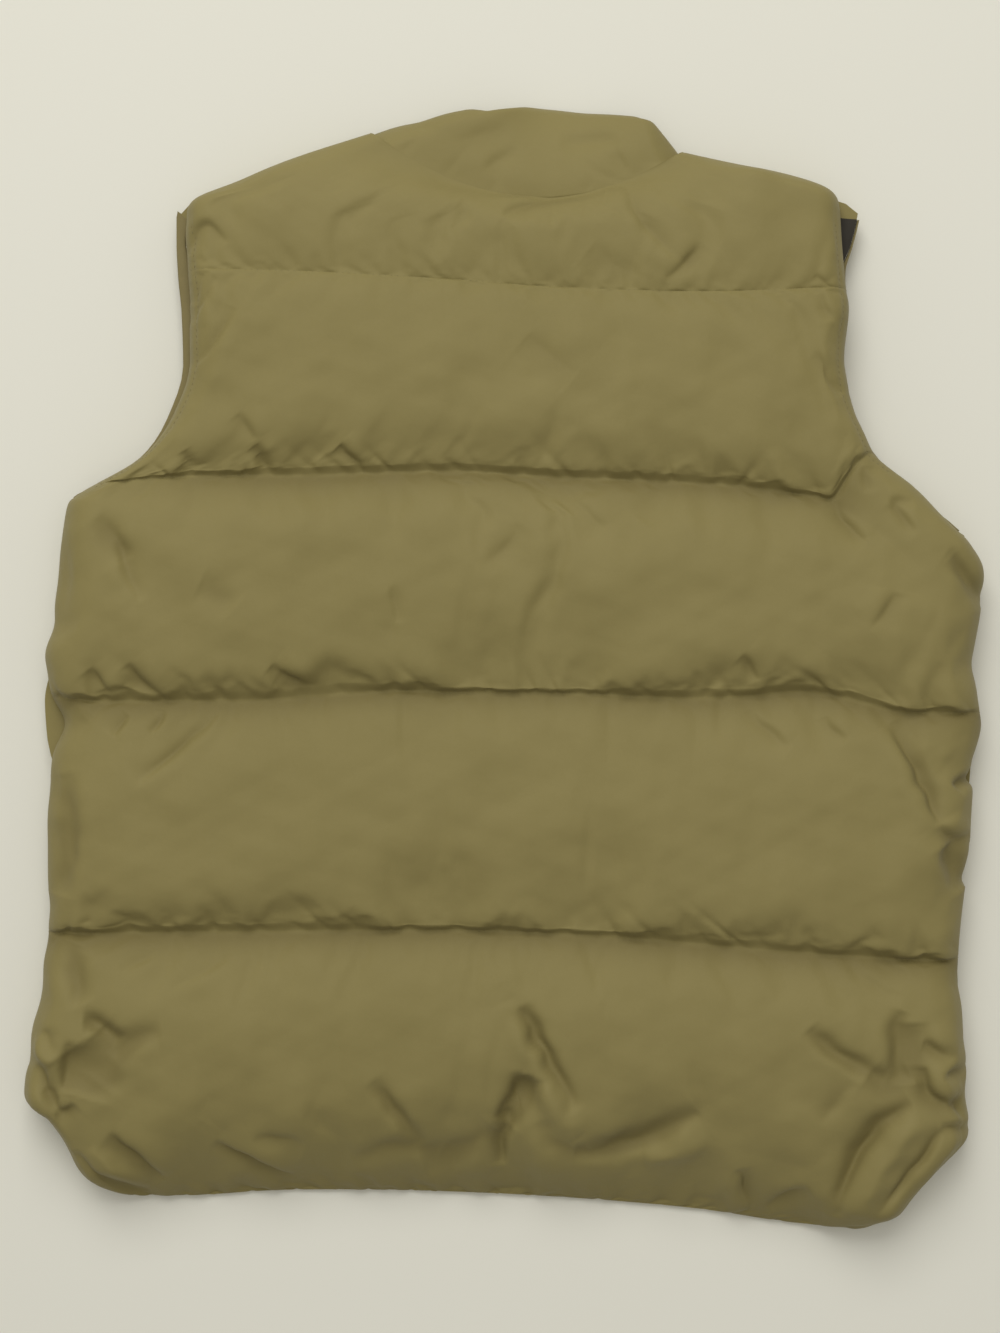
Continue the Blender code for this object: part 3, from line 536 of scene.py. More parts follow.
# %% The creases of the back
Crease = namedtuple("Crease", "x0 y0 mid_x mid_y x1 y1 width depth ridge")
BACK_CREASES = rows_of(Crease, [
    # Up the middle of the tail: a long fold, a funnel and the bulges round them.
    (11, -198, 24, -225, 43, -260, 4.6, 6.4, 0.0),
    (1, -196, 13, -224, 32, -266, 6.5, -2.6, 0.0),
    (0, -184, 9, -204, 18, -226, 7.5, 1.6, 0.0),
    (14, -239, 9, -253, 1, -270, 7.4, 8.8, 0.0),
    (4, -263, 1, -279, -1, -297, 3.0, 5.6, 0.8),
    (-6, -272, -24, -286, -48, -296, 9, 4.0, 0.0),
    (24, -244, 32, -262, 42, -278, 8, -3.6, 0.0),
    (-77, -242, -63, -262, -48, -283, 5.0, 4.6, 0.0),
    (42, -289, 80, -283, 115, -262, 5.6, 7.4, -1.6),
    (20, -268, 34, -284, 50, -286, 7.0, 3.0, 0.0),
    (84, -292, 104, -286, 122, -278, 7, -3.5, 0.0),
    (-171, -281, -154, -292, -126, -307, 3.6, 4.5, 1.6),
    (-38, -289, -62, -285, -90, -294, 7, 3.6, 0.0),
    (-148, -281, -134, -279, -118, -284, 5, 2.6, 1.0),
    (140, -298, 144, -312, 149, -325, 3.3, 3.6, -1.0),
    (159, -323, 170, -316, 182, -310, 3.9, 2.8, 1.0),
    # The tail's right side and corner.
    (180, -211, 198, -227, 226, -241, 5.4, 5.6, 0.0),
    (214, -240, 226, -244, 240, -240, 9, 4.0, 0.0),
    (234, -201, 231, -220, 234, -244, 5.6, 5.4, 0.0),
    (240, -208, 240, -226, 240, -244, 8, 5.0, 0.0),
    (247, -220, 256, -224, 266, -231, 3.3, 4.4, 1.4),
    (247, -234, 254, -252, 273, -258, 4.1, 7.0, 2.2),
    (266, -254, 272, -260, 274, -268, 2.8, 3.0, 0.0),
    (259, -242, 267, -238, 277, -239, 3.3, 4.2, 1.2),
    (241, -257, 214, -284, 198, -326, 4.1, 8.5, 2.4),
    (249, -263, 228, -290, 212, -326, 7, -3.6, 0.0),
    (259, -272, 246, -293, 222, -325, 3, 5.0, 1.4),
    (258, -271, 268, -271, 280, -275, 2.8, 3.2, 0.8),
    (187, -268, 196, -256, 206, -243, 5, 2.6, -0.8),
    (226, -171, 232, -176, 239, -182, 2.6, 2.2, 0.6),
    (205, -176, 219, -186, 235, -193, 3.3, 1.6, 0.5),
    # The tail's left side and corner.
    (-247, -207, -237, -210, -226, -220, 4.8, 6.2, 0.0),
    (-252, -222, -245, -237, -246, -252, 13.0, 6.0, 0.0),
    (-238, -212, -232, -226, -238, -244, 11.0, 5.0, 0.0),
    (-231, -228, -217, -218, -201, -214, 6.5, 4.0, 0.0),
    (-254, -219, -258, -235, -259, -249, 3.9, 5.5, -1.6),
    (-276, -234, -271, -247, -263, -261, 3.6, 5.5, -1.6),
    (-264, -262, -259, -261, -253, -256, 3.3, 4.0, 1.2),
    (-275, -217, -271, -225, -266, -233, 4.5, -3.2, 0.0),
    (-272, -213, -269, -221, -265, -229, 2.8, 3.0, -0.8),
    (-233, -276, -219, -289, -204, -306, 4.1, 6.0, 1.8),
    (-244, -283, -230, -299, -213, -311, 4, -2.6, 0.0),
    (-254, -286, -240, -304, -214, -314, 3.6, 4.6, 0.0),
    (-206, -165, -214, -172, -225, -179, 2.6, 1.6, 0.5),
    (-161, -167, -176, -177, -198, -190, 3.3, 1.5, 0.5),
    (-252, -163, -253, -178, -246, -196, 7, 4.5, 0.0),
    # The channel at the waist.
    (-166, -23, -189, -45, -216, -67, 2.8, 3.4, 1.0),
    (-201, -24, -203, -31, -208, -38, 2.6, 3.2, 0.6),
    (-222, -27, -226, -32, -231, -39, 2.6, 3.2, 0.6),
    (229, -32, 246, -66, 257, -92, 3.9, 6.0, -2.0),
    (257, -92, 266, -99, 279, -99, 3.6, 4.6, 1.4),
    (268, -71, 275, -66, 284, -65, 4, 6.0, 0.0),
    (262, -104, 268, -116, 276, -130, 8, 8.0, 0.0),
    (145, -24, 156, -36, 169, -45, 2.8, 2.6, 0.8),
    (190, -28, 195, -36, 202, -42, 2.8, 2.4, 0.6),
    (-260, -62, -257, -96, -262, -134, 8, 5.0, 0.0),
    # The channel at the chest.
    (-238, 90, -228, 78, -220, 66, 7, 4.0, 1.0),
    (-228, 76, -221, 58, -213, 40, 3.3, 2.6, -0.9),
    (-66, 48, -64, 38, -61, 27, 2.8, 1.6, -0.5),
    (-178, 50, -168, 44, -158, 36, 9, 2.4, 0.0),
    (-244, 0, -238, -8, -231, -16, 3.3, 3.2, 0.9),
    (-221, 3, -214, -7, -208, -16, 3.3, 3.6, 0.9),
    (-137, 2, -126, -6, -113, -13, 3.9, 3.6, 1.0),
    (-132, -2, -118, -9, -104, -12, 6, 3.0, 0.8),
    (10, 85, -1, 71, -14, 59, 4.5, 1.8, -0.5),
    (35, 108, 48, 94, 60, 82, 3.9, 1.5, 0.6),
    (195, 99, 203, 86, 214, 75, 3, 3.2, 1.0),
    (213, 120, 213, 112, 214, 104, 3.3, 3.4, -0.8),
    (227, 99, 234, 99.5, 243, 98.5, 3, 3.0, 0.9),
    (229, 98, 235, 90, 243, 81, 3, 3.0, 0.9),
    (230, 45, 225, 35, 215, 24, 3.9, 2.4, -0.7),
    (262, 70, 276, 57, 285, 42, 3.9, 3.6, 1.0),
    (264, 66, 277, 50, 284, 36, 6, 2.4, 0.0),
    (140, 8, 145, 2, 150, -6, 3, 3.0, 0.7),
    # The channel at the shoulder blades.
    (14, 196, 28, 184, 42, 172, 9, 2.0, 0.5),
    (-177, 233, -181, 225, -184, 216, 2.6, 1.8, 0.5),
    (-169, 231, -178, 218, -184, 204, 2.8, 2.2, 0.7),
    (-159, 213, -169, 195, -184, 177, 3.3, 2.4, 0.8),
    (-156, 150, -151, 143, -146, 135, 3, 2.0, 0.6),
    (-189, 128, -186, 123, -182, 117, 4, 2.4, 0.0),
    (-148, 131, -144, 125, -139, 117, 4, 3.2, 0.0),
    (-97, 132, -91, 126, -84, 119, 3, 3.2, 0.9),
    (184, 186, 193, 173, 201, 162, 3, 2.4, 0.7),
    (184, 224, 190, 214, 193, 205, 3, 2.4, 0.6),
])
CREASE_WOBBLE = 0.6 * MM
YOKE_CREASES = rows_of(Crease, [
    (0, 268, 22, 280, 60, 284.5, 3.4, 3.0, 1.0),
    (73, 288, 84, 262, 112, 236, 4.4, 2.4, -0.6),
    (95, 231, 107, 239, 117, 251, 3.4, 2.6, 0.6),
    (52, 249, 65, 239, 78, 230, 8.0, 2.0, 0.5),
    (184, 233, 191, 227, 197, 221, 2.2, 2.4, 0.7),
    (-188, 246, -177, 262, -163, 251, 2.4, 2.2, 0.8),
])


CREASE_POINTS, CREASE_REACH = 33, 5.5  # this reach and the next four are in widths
RIDGE_AWAY, RIDGE_WIDTH, STEEP_WALL, GENTLE_WALL = 2.2, 1.9, 0.7, 1.9
RIDGED_POWER, PLAIN_POWER, END_POWER = 1.6, 2.0, 0.6


def crease_relief(x, y, creases):
    """How far the creases move each point along the normal.

    For a crease it is (ridge * exp(-((a - 2.2 w) / 1.9 w)²) - depth * exp(-|a / wall|^p))
    * sin(pi s)^0.6: a is the distance to its curve, w its width, and s how far along
    it the nearest point lies. Without a ridge the wall is w and p is 2. With one p is
    1.6, and the wall is steep, 0.7 w, on the ridge's side and gentle, 1.9 w, on the
    other. The curve is a parabola through its points, and short waves move it a
    little aside, as no fold is quite smooth.
    """
    relief = np.zeros_like(x)
    t = np.linspace(0, 1, CREASE_POINTS)[:, None]
    for crease in creases:
        start = np.array([crease.x0, crease.y0]) * MM
        end = np.array([crease.x1, crease.y1]) * MM
        pull = 2 * np.array([crease.mid_x, crease.mid_y]) * MM - (start + end) / 2
        curve = (1 - t) ** 2 * start + 2 * t * (1 - t) * pull + t**2 * end
        along = np.gradient(curve, axis=0)
        step = np.linalg.norm(along, axis=1)
        along = along / step[:, None]
        width, reach = crease.width * MM, CREASE_REACH * crease.width * MM
        near = (x > curve[:, 0].min() - reach) & (x < curve[:, 0].max() + reach)
        near &= (y > curve[:, 1].min() - reach) & (y < curve[:, 1].max() + reach)
        px, py = x[near], y[near]
        away = (px[:, None] - curve[:, 0]) ** 2 + (py[:, None] - curve[:, 1]) ** 2
        i = away.argmin(axis=1)
        dx, dy = px - curve[i, 0], py - curve[i, 1]
        s = (i + (dx * along[i, 0] + dy * along[i, 1]) / step[i]) / (len(t) - 1)
        aside = dy * along[i, 0] - dx * along[i, 1] + CREASE_WOBBLE * slow_waves(px, py, 20 * MM, 5)
        side = np.sign(crease.ridge) if crease.ridge else 1
        ridge = abs(crease.ridge) * bell(side * aside - RIDGE_AWAY * width, RIDGE_WIDTH * width)
        wall, power = width, PLAIN_POWER
        if crease.ridge:
            wall = width * np.where(side * aside > 0, STEEP_WALL, GENTLE_WALL)
            power = RIDGED_POWER
        trough = crease.depth * np.exp(-(np.abs(aside / wall) ** power))
        relief[near] += (ridge - trough) * MM * np.sin(np.pi * np.clip(s, 0, 1)) ** END_POWER
    return relief


# %% [markdown]
# ## Puckers along the stitches
#
# Thread pulls the cloth together, so short folds stand square to every line of
# stitches, most of them on its upper side where the channel hangs over. Each fold
# has its own place, slant, length and depth. They are drawn from a fixed seed, so
# the vest is the same each time, and low slow waves keep the rest from looking cast.


# %% Puckers
Pucker = namedtuple("Pucker", "spacing length width depth lean slant")
ABOVE_SEAM = Pucker(19, 11, 2.3, 2.2, -0.45, 0.5)
BELOW_SEAM = Pucker(27, 9, 2.4, 0.7, 0.4, 0.9)


def pucker_relief(x, distance, kind, seed):
    """The folds beside one seam: for each, depth * exp(-(a / w)²) * exp(-(d / length)²).

    d is the distance from the seam, and a the distance aside from the fold's own
    slanting line. The width w grows with d, because a fold fans out and fades.
    """
    rng = np.random.default_rng(seed)
    relief = np.zeros_like(x)
    place = x.min() + rng.uniform(0, kind.spacing) * MM
    while place < x.max():
        length = kind.length * MM * rng.uniform(0.5, 1.7)
        depth = kind.depth * MM * rng.uniform(0.25, 1.25)
        width = kind.width * MM * rng.uniform(0.7, 1.3) * (1 + distance / length)
        aside = x - place - rng.normal(kind.lean, kind.slant) * distance
        relief -= depth * np.exp(-((aside / width) ** 2) - (distance / length) ** 2)
        place += kind.spacing * MM * rng.uniform(0.45, 1.6)
    return relief


def seam_relief(cloth, strengths, seed):
    """The puckers of every channel, from the seam below it and from the one above it."""
    x, y = cloth.points[..., 0], cloth.points[..., 1]
    relief = np.zeros_like(x)
    for number, (low, high) in enumerate(zip(cloth.seam_rows, cloth.seam_rows[1:])):
        rows = slice(low, high + 1)
        above, below = y[rows] - y[low], y[high] - y[rows]
        at_seams = cloth.deep[number:number + 2]
        lower, upper = (pull * np.sqrt(deep) for pull, deep in zip(strengths[number], at_seams))
        relief[rows] += lower * pucker_relief(x[rows], above, ABOVE_SEAM, seed + 2 * number)
        relief[rows] += upper * pucker_relief(x[rows], below, BELOW_SEAM, seed + 2 * number + 1)
    return relief


def grid_normals(points):
    """Unit normals of a grid: the cross product of its steps along and across."""
    across, up = np.gradient(points, axis=1), np.gradient(points, axis=0)
    normal = np.cross(across, up)
    return normal / np.linalg.norm(normal, axis=-1, keepdims=True).clip(1e-12)


print("a fold every", ABOVE_SEAM.spacing, "mm above a seam, on average")

# %% [markdown]
# ## Finish the back's surface
#
# All the relief is added along the normals. Two channels then lean on each other
# over the stitches between them, so each is kept on its own side of the seam with a
# soft limit. A shallow groove follows the armholes and the tail's corners, where
# the edge is turned in and stitched down.

# %% Add the relief
EDGE_STITCH, GROOVE_WIDTH, GROOVE_DEPTH = 5.6 * MM, 1.3 * MM, 0.4 * MM
CORNER_LOW_Y, CORNER_HIGH_Y = -262 * MM, -240 * MM  # where the tail's corners fade out
OVERHANG, LEANING_SHARE = 5 * MM, 0.2
REST_WAVES = ((52, 0.9), (27, 0.32), (13, 0.08))  # lengths and heights in millimetres
SOFT_EDGE, CREASE_AT_SEAM, LEAST_PANEL = 10 * MM, 0.25, 0.8 * MM
VALLEY_ROWS, VALLEY_PASSES = 8, 12
# Painted shade: the colour darkens beside the seams, in folds and at the hem, where shade falls.
FULL_SHADE_SEAM = 0.3  # a seam as deep as this gets the full painted shade
FOLD_SHADE, FOLD_FROM, FOLD_FULL = 0.45, 0.4 * MM, 4 * MM
SEAM_SHADE_RISE, BELOW_REACH, SHADE_POWER = 1.5 * MM, 9 * MM, 1.3
ABOVE_SHADE, ABOVE_REACH = 0.3, 5 * MM
HEM_SHADE, HEM_REACH = 0.3, 15 * MM
PANEL_PUCKERS = [(0.3, 0.7), (1.2, 0.7), (1.2, 0.7), (1.2, 0.4)]  # at a channel's two seams
YOKE_PUCKERS = [(0.5, 0.0)]


def soft_limit(excess, softness):
    """log(1 + exp(x / s)) * s: 0 well below the limit, and x well above it."""
    return softness * np.logaddexp(0, excess / softness)


def painted_shade_mask(cloth, folds):
    """How dark the painted shade makes the cloth, from 0 to 1: beside the seams, in the folds
    and along the hem, where shade falls.

    Below a seam it is (1 - exp(-d / 1.5 mm)) * exp(-(d / 9 mm)^1.3), with d the distance,
    and above it 0.3 * exp(-(d / 5 mm)^1.3). The yoke has no hem, and its neck gets none.
    """
    y = cloth.points[..., 1]
    has_hem = len(cloth.seam_rows) > 2
    shaded = (cloth.deep / FULL_SHADE_SEAM).clip(0, 1)
    dust = FOLD_SHADE * smoothstep(-folds, FOLD_FROM, FOLD_FULL)
    for number, (low, high) in enumerate(zip(cloth.seam_rows, cloth.seam_rows[1:])):
        rows = slice(low, high + 1)
        below, above = (y[high] - y[rows]).clip(0), (y[rows] - y[low]).clip(0)
        band = (1 - np.exp(-below / SEAM_SHADE_RISE)) * np.exp(-((below / BELOW_REACH) ** SHADE_POWER))
        over = ABOVE_SHADE * np.exp(-((above / ABOVE_REACH) ** SHADE_POWER))
        dust[rows] += over * shaded[number] * (low > 0)
        dust[rows] += band * shaded[number + 1] * has_hem
    if has_hem:
        dust += HEM_SHADE * bell(y - y[0], HEM_REACH)
    return dust.clip(0, 1)


def finish_cloth(cloth, creases, strengths, seed):
    """Adds creases, puckers, waves and the edge's groove, and parts the channels.

    Last, each valley between two channels is rounded: (a + 2b + c) / 4 up its rows, repeated.
    """
    points = cloth.points.copy()
    x, y = points[..., 0], points[..., 1]
    seam_y = {row: y[row].copy() for row in cloth.seam_rows}
    full = channel_form(cloth.share, cloth.crest)[:, None]
    inward = smoothstep(cloth.edge, 0, SOFT_EDGE)
    relief = crease_relief(x, y, creases) * np.minimum(1, CREASE_AT_SEAM + full)
    # Painted shade: the colour darkens in the folds, beside the seams and along the hem, where
    # shade falls.
    dust = painted_shade_mask(cloth, relief)
    relief += seam_relief(cloth, strengths, seed) * inward
    for size, (wavelength, height) in enumerate(REST_WAVES):
        waves = slow_waves(x, y, wavelength * MM, seed + 50 + size)
        relief += height * MM * waves * full * inward
    groove = bell(cloth.edge - EDGE_STITCH, GROOVE_WIDTH)
    corner = 1 - smoothstep(y, CORNER_LOW_Y, CORNER_HIGH_Y)
    relief -= GROOVE_DEPTH * groove * np.maximum(cloth.arm, corner)
    points += grid_normals(points) * relief[..., None]
    for low, high, deep in zip(cloth.seam_rows, cloth.seam_rows[1:], cloth.deep):
        rows = slice(low, high + 1)
        height = points[rows, :, 2] - points[low, :, 2]
        risen = (height / height.max(axis=0).clip(1 * MM)).clip(0, 1)
        near = 1 - smoothstep(cloth.share[rows], 0, LEANING_SHARE)
        lean = OVERHANG * deep
        points[rows, :, 1] -= lean * risen * near[:, None] * inward[rows]
    for low, high in zip(cloth.seam_rows, cloth.seam_rows[1:]):
        inner = slice(low + 1, high)
        for row, way in ((low, 1), (high, -1)):
            past = way * (seam_y[row] - points[inner, :, 1]) + 0.1 * MM
            points[inner, :, 1] += way * soft_limit(past, 0.25 * MM)
    for row in cloth.seam_rows[1:-1]:
        valley = points[row - VALLEY_ROWS:row + VALLEY_ROWS + 1]
        for _ in range(VALLEY_PASSES):
            valley[1:-1] = (valley[:-2] + 2 * valley[1:-1] + valley[2:]) / 4
    least = cloth.inside + LEAST_PANEL
    points[..., 2] = least + soft_limit(points[..., 2] - least, 0.3 * MM)
    return cloth._replace(points=points, dust=dust)


panel = finish_cloth(panel, BACK_CREASES, PANEL_PUCKERS, 3)
yoke = finish_cloth(yoke, YOKE_CREASES, YOKE_PUCKERS, 31)
print("highest point of the back:", round(float(panel.points[..., 2].max()) / MM, 1), "mm")

# %% [markdown]
# ## Cloth that looks like nylon
#
# The shell is a fine plain weave with a soft sheen. Three things make it out: the
# threads, far too fine to model, tiny wrinkles left by folding, and a colour that
# is never quite even. They are shared by the shell, the tape and the lining, so
# they are one node group with a few named inputs, and each material sets its own.


# %% The weave group
def woven_group():
    """A group that turns a place into a height for the bump and two masks.

    Height = weave + wrinkles: the weave is the product of two waves at right
    angles, and the wrinkles are two noises of different size. Mottle is a slow
    noise for the colour, and wear a finer one for the roughness.
    """
    group = bpy.data.node_groups.new("woven cloth", "ShaderNodeTree")
    for name, kind in (("Position", "NodeSocketVector"), ("Threads", "NodeSocketFloat"),
                       ("Weave", "NodeSocketFloat"), ("Wrinkles", "NodeSocketFloat")):
        group.interface.new_socket(name, in_out="INPUT", socket_type=kind)
    for name in ("Height", "Mottle", "Wear"):
        group.interface.new_socket(name, in_out="OUTPUT", socket_type="NodeSocketFloat")
    nodes, link = group.nodes, group.links.new
    given, made = nodes.new("NodeGroupInput"), nodes.new("NodeGroupOutput")

    def maths(operation, a, b):
        node = nodes.new("ShaderNodeMath")
        node.operation = operation
        for socket, value in zip(node.inputs, (a, b)):
            if isinstance(value, (int, float)):
                socket.default_value = value
            else:
                link(value, socket)
        return node.outputs[0]

    def noise(scale, detail):
        node = nodes.new("ShaderNodeTexNoise")
        node.inputs["Scale"].default_value = scale
        node.inputs["Detail"].default_value = detail
        link(given.outputs["Position"], node.inputs["Vector"])
        return node.outputs["Fac"]

    waves = []
    for direction in ("X", "Y"):
        wave = nodes.new("ShaderNodeTexWave")
        wave.bands_direction = direction
        link(given.outputs["Position"], wave.inputs["Vector"])
        link(given.outputs["Threads"], wave.inputs["Scale"])
        waves.append(wave.outputs["Fac"])
    weave = maths("MULTIPLY", maths("MULTIPLY", waves[0], waves[1]), given.outputs["Weave"])
    wrinkles = maths("ADD", noise(60, 3), maths("MULTIPLY", noise(190, 4), 0.35))
    wrinkles = maths("MULTIPLY", wrinkles, given.outputs["Wrinkles"])
    link(maths("ADD", weave, wrinkles), made.inputs["Height"])
    link(noise(9, 2), made.inputs["Mottle"])
    link(noise(420, 3), made.inputs["Wear"])
    return group


woven = woven_group()
print("node group:", woven.name)

# %% [markdown]
# The sheen of nylon comes from light that grazes its threads. The shader has a
# setting for that, which is the same all over, so it is set on the shader itself.
# Colour and roughness vary, so they come through a mix of two close values.


# %% Materials
# Painted shade: where the shade mask is 1, the colour is multiplied by this tint.
SHADE_TINT = (0.67, 0.645, 0.60)
SHEEN_ROUGHNESS, CLOTH_SPECULAR, BUMP_HEIGHT = 0.45, 0.22, 1 * MM
Finish = namedtuple("Finish", "name dark light roughness threads weave wrinkles sheen")
FINISHES = rows_of(Finish, [
    ("shell nylon", (0.236, 0.196, 0.069), (0.264, 0.220, 0.082), 0.60, 700, 0.05, 0.35, 0.06),
    ("binding tape", (0.215, 0.176, 0.072), (0.240, 0.198, 0.084), 0.62, 560, 0.08, 0.2, 0.1),
    ("lining taffeta", (0.026, 0.022, 0.015), (0.034, 0.029, 0.020), 0.55, 800, 0.04, 0.3, 0.1),
    ("thread", (0.20, 0.165, 0.066), (0.24, 0.20, 0.085), 0.7, 2400, 0.05, 0.0, 0.15),
])


def new_material(name):
    """A material, with its tree's nodes, its links and its shader."""
    material = bpy.data.materials.new(name)
    material.use_nodes = True
    tree = material.node_tree
    return material, tree.nodes, tree.links.new, tree.nodes["Principled BSDF"]


def new_mix(nodes, kind, blend="MIX"):
    """A mix node's factor, its two ends and its result, for colours or for numbers."""
    mix = nodes.new("ShaderNodeMix")
    mix.data_type, mix.blend_type = kind, blend
    first, second = (s for s in mix.inputs if s.enabled and s.name in ("A", "B"))
    return mix.inputs["Factor"], first, second, next(s for s in mix.outputs if s.enabled)


def cloth_material(finish):
    """A woven material: colour and roughness mixed by the group's masks, and its bump.

    Painted shade: a mask on the mesh multiplies the colour by a darker tint, as far as it goes.
    """
    material, nodes, link, shader = new_material(finish.name)
    place, group = nodes.new("ShaderNodeTexCoord"), nodes.new("ShaderNodeGroup")
    group.node_tree = woven
    link(place.outputs["Object"], group.inputs["Position"])
    group.inputs["Threads"].default_value = finish.threads
    group.inputs["Weave"].default_value = finish.weave
    group.inputs["Wrinkles"].default_value = finish.wrinkles
    factor, dark, light, colour = new_mix(nodes, "RGBA")
    dark.default_value, light.default_value = (*finish.dark, 1), (*finish.light, 1)
    link(group.outputs["Mottle"], factor)
    factor, least, most, roughness = new_mix(nodes, "FLOAT")
    least.default_value, most.default_value = finish.roughness - 0.05, finish.roughness + 0.07
    link(group.outputs["Wear"], factor)
    link(roughness, shader.inputs["Roughness"])
    # Painted shade: the mesh's mask darkens the base colour towards the tint.
    dust = nodes.new("ShaderNodeAttribute")
    dust.attribute_name = "dust"
    factor, unshaded, shaded, with_shade = new_mix(nodes, "RGBA", "MULTIPLY")
    shaded.default_value = (*SHADE_TINT, 1)
    link(colour, unshaded)
    link(dust.outputs["Fac"], factor)
    link(with_shade, shader.inputs["Base Color"])
    bump = nodes.new("ShaderNodeBump")
    bump.inputs["Strength"].default_value = 1.0
    bump.inputs["Distance"].default_value = BUMP_HEIGHT
    link(group.outputs["Height"], bump.inputs["Height"])
    link(bump.outputs["Normal"], shader.inputs["Normal"])
    shader.inputs["Sheen Weight"].default_value = finish.sheen
    shader.inputs["Sheen Roughness"].default_value = SHEEN_ROUGHNESS
    shader.inputs["Specular IOR Level"].default_value = CLOTH_SPECULAR
    return material


shell, tape_cloth, lining_cloth, thread = (cloth_material(finish) for finish in FINISHES)
print("materials:", ", ".join(m.name for m in bpy.data.materials if m.users or m.use_nodes))

# %% [markdown]
# ## Close a panel
#
# A real panel has a plain inner face too. Nobody sees it, so it is a coarse sheet
# that shares only the outline with the outer face. The cloth turns in under the
# edge to meet its seam, and that small turn is two more columns of points.


# %% From a surface to a closed piece
def make_mesh(name, points, faces, material):
    """An object with its place in its mesh, smooth, riding on the vest."""
    mesh = bpy.data.meshes.new(name)
    mesh.from_pydata(points.tolist(), [], faces)
    mesh.materials.append(material)
    mesh.shade_smooth()
    mesh.set_sharp_from_angle(angle=radians(75))
    piece = put(name, mesh)
    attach(piece, "root")
    return piece


def closed_tube(rows, sides, order=1):
    """The quads of a grid whose last column is its first again, and a face over each end.

    The order is -1 where they would otherwise face inwards.
    """
    quads = grid_faces(rows, sides + 1)
    quads = quads // (sides + 1) * sides + quads % (sides + 1) % sides
    ring = np.arange(sides)
    ends = [ring[::-1], (rows - 1) * sides + ring]
    return quads[:, ::order].tolist() + [end[::order].tolist() for end in ends]


def close_panel(name, outer, inner, material, turn=1, plain=9):
    """Joins an outer and an inner grid of the same size into one closed body.

    Between its first and last rows the inner face keeps only a few of its columns.
    Turn is 1 where the outer face is uppermost and -1 where it is underneath.
    """
    rows, columns = outer.shape[:2]
    take = np.round(np.linspace(0, columns - 1, plain)).astype(int)
    parts = [outer.reshape(-1, 3), inner[1:-1, take].reshape(-1, 3), inner[0], inner[-1]]
    first = rows * columns
    low = first + (rows - 2) * plain
    high = low + columns
    within = first + np.arange((rows - 2) * plain).reshape(-1, plain)
    grid = np.arange(rows * columns).reshape(rows, columns)
    below, above = low + np.arange(columns), high + np.arange(columns)

    def strip(a, b):
        return np.stack([a[:-1], a[1:], b[1:], b[:-1]], axis=-1)

    left = np.concatenate([below[:1], within[:, 0], above[:1]])
    right = np.concatenate([below[-1:], within[:, -1], above[-1:]])
    faces = [grid_faces(rows, columns), grid_faces(rows - 2, plain, first)[:, ::-1],
             strip(grid[:, 0], left), strip(right, grid[:, -1]),
             strip(below, grid[0]), strip(grid[-1], above)]
    every = [face for group in faces for face in group[:, ::turn].tolist()]
    for i, (near, far) in enumerate(zip(take, take[1:])):
        hem = [*within[0, [i, i + 1]], *below[near:far + 1][::-1]]
        top = [*above[near:far + 1], *within[-1, [i + 1, i]]]
        every += [[int(corner) for corner in face[::turn]] for face in (hem, top)]
    piece = make_mesh(name, np.concatenate(parts), every, material)
    sharpen(piece.data, (grid[0], grid[-1]))
    return piece


def sharpen(mesh, lines):
    """Marks the edges along some lines of points as sharp, so that their walls don't shade in."""
    ends = np.empty(2 * len(mesh.edges), np.int32)
    mesh.edges.foreach_get("vertices", ends)
    marks = mesh.attributes.get("sharp_edge")
    marks = marks or mesh.attributes.new("sharp_edge", "BOOLEAN", "EDGE")
    sharp = np.empty(len(mesh.edges), bool)
    marks.data.foreach_get("value", sharp)
    for line in lines:
        sharp |= np.isin(ends.reshape(-1, 2), line).all(axis=1)
    marks.data.foreach_set("value", sharp)


def turned_in(cloth, depth=1.6 * MM, foot=0.25 * MM):
    """The outer grid with two more columns at each side that turn in to the seam."""
    points = cloth.points
    sides = []
    for column_at, next_at in ((0, 12), (-1, -13)):
        edge = points[:, column_at]
        inward = points[:, next_at] - edge
        inward[:, 2] = 0
        inward /= np.linalg.norm(inward, axis=1, keepdims=True)
        height = edge[:, 2] - cloth.inside[:, column_at]
        half, low = edge + inward * depth * 0.15, edge + inward * depth
        half[:, 2] = cloth.inside[:, column_at] + 0.45 * height
        low[:, 2] = cloth.inside[:, column_at] + foot
        sides.append((low, half))
    (left_low, left_half), (right_low, right_half) = sides
    return np.concatenate(
        [left_low[:, None], left_half[:, None], points, right_half[:, None], right_low[:, None]],
        axis=1,
    )


def plain_back(cloth, outer):
    """The inner face: under each point of the outer one, at the inside's height."""
    inner = outer.copy()
    inner[:, 2:-2, 2] = cloth.inside
    for end, half, edge in ((0, 1, 2), (-1, -2, -3)):
        inner[:, end, 2] -= 0.2 * MM
        inner[:, half] = inner[:, end]
        inner[:, edge] = inner[:, end]
    return inner


def make_back(names, cloth, node):
    """One padded piece for each channel, which all stand for the same node."""
    outer = turned_in(cloth)
    inner = plain_back(cloth, outer)
    for name, low, high in zip(names, cloth.seam_rows, cloth.seam_rows[1:]):
        rows = slice(low, high + 1)
        piece = close_panel(name, outer[rows], inner[rows], shell)
        # Painted shade: each piece carries its part of the shade mask as a point attribute.
        dust = np.zeros(len(piece.data.vertices), np.float32)
        with_shade = np.pad(cloth.dust[rows], ((0, 0), (2, 2))).ravel()
        dust[:len(with_shade)] = with_shade
        piece.data.attributes.new("dust", "FLOAT", "POINT").data.foreach_set("value", dust)
        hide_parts(node)
        print(name, sum(len(p.vertices) - 2 for p in piece.data.polygons), "triangles")


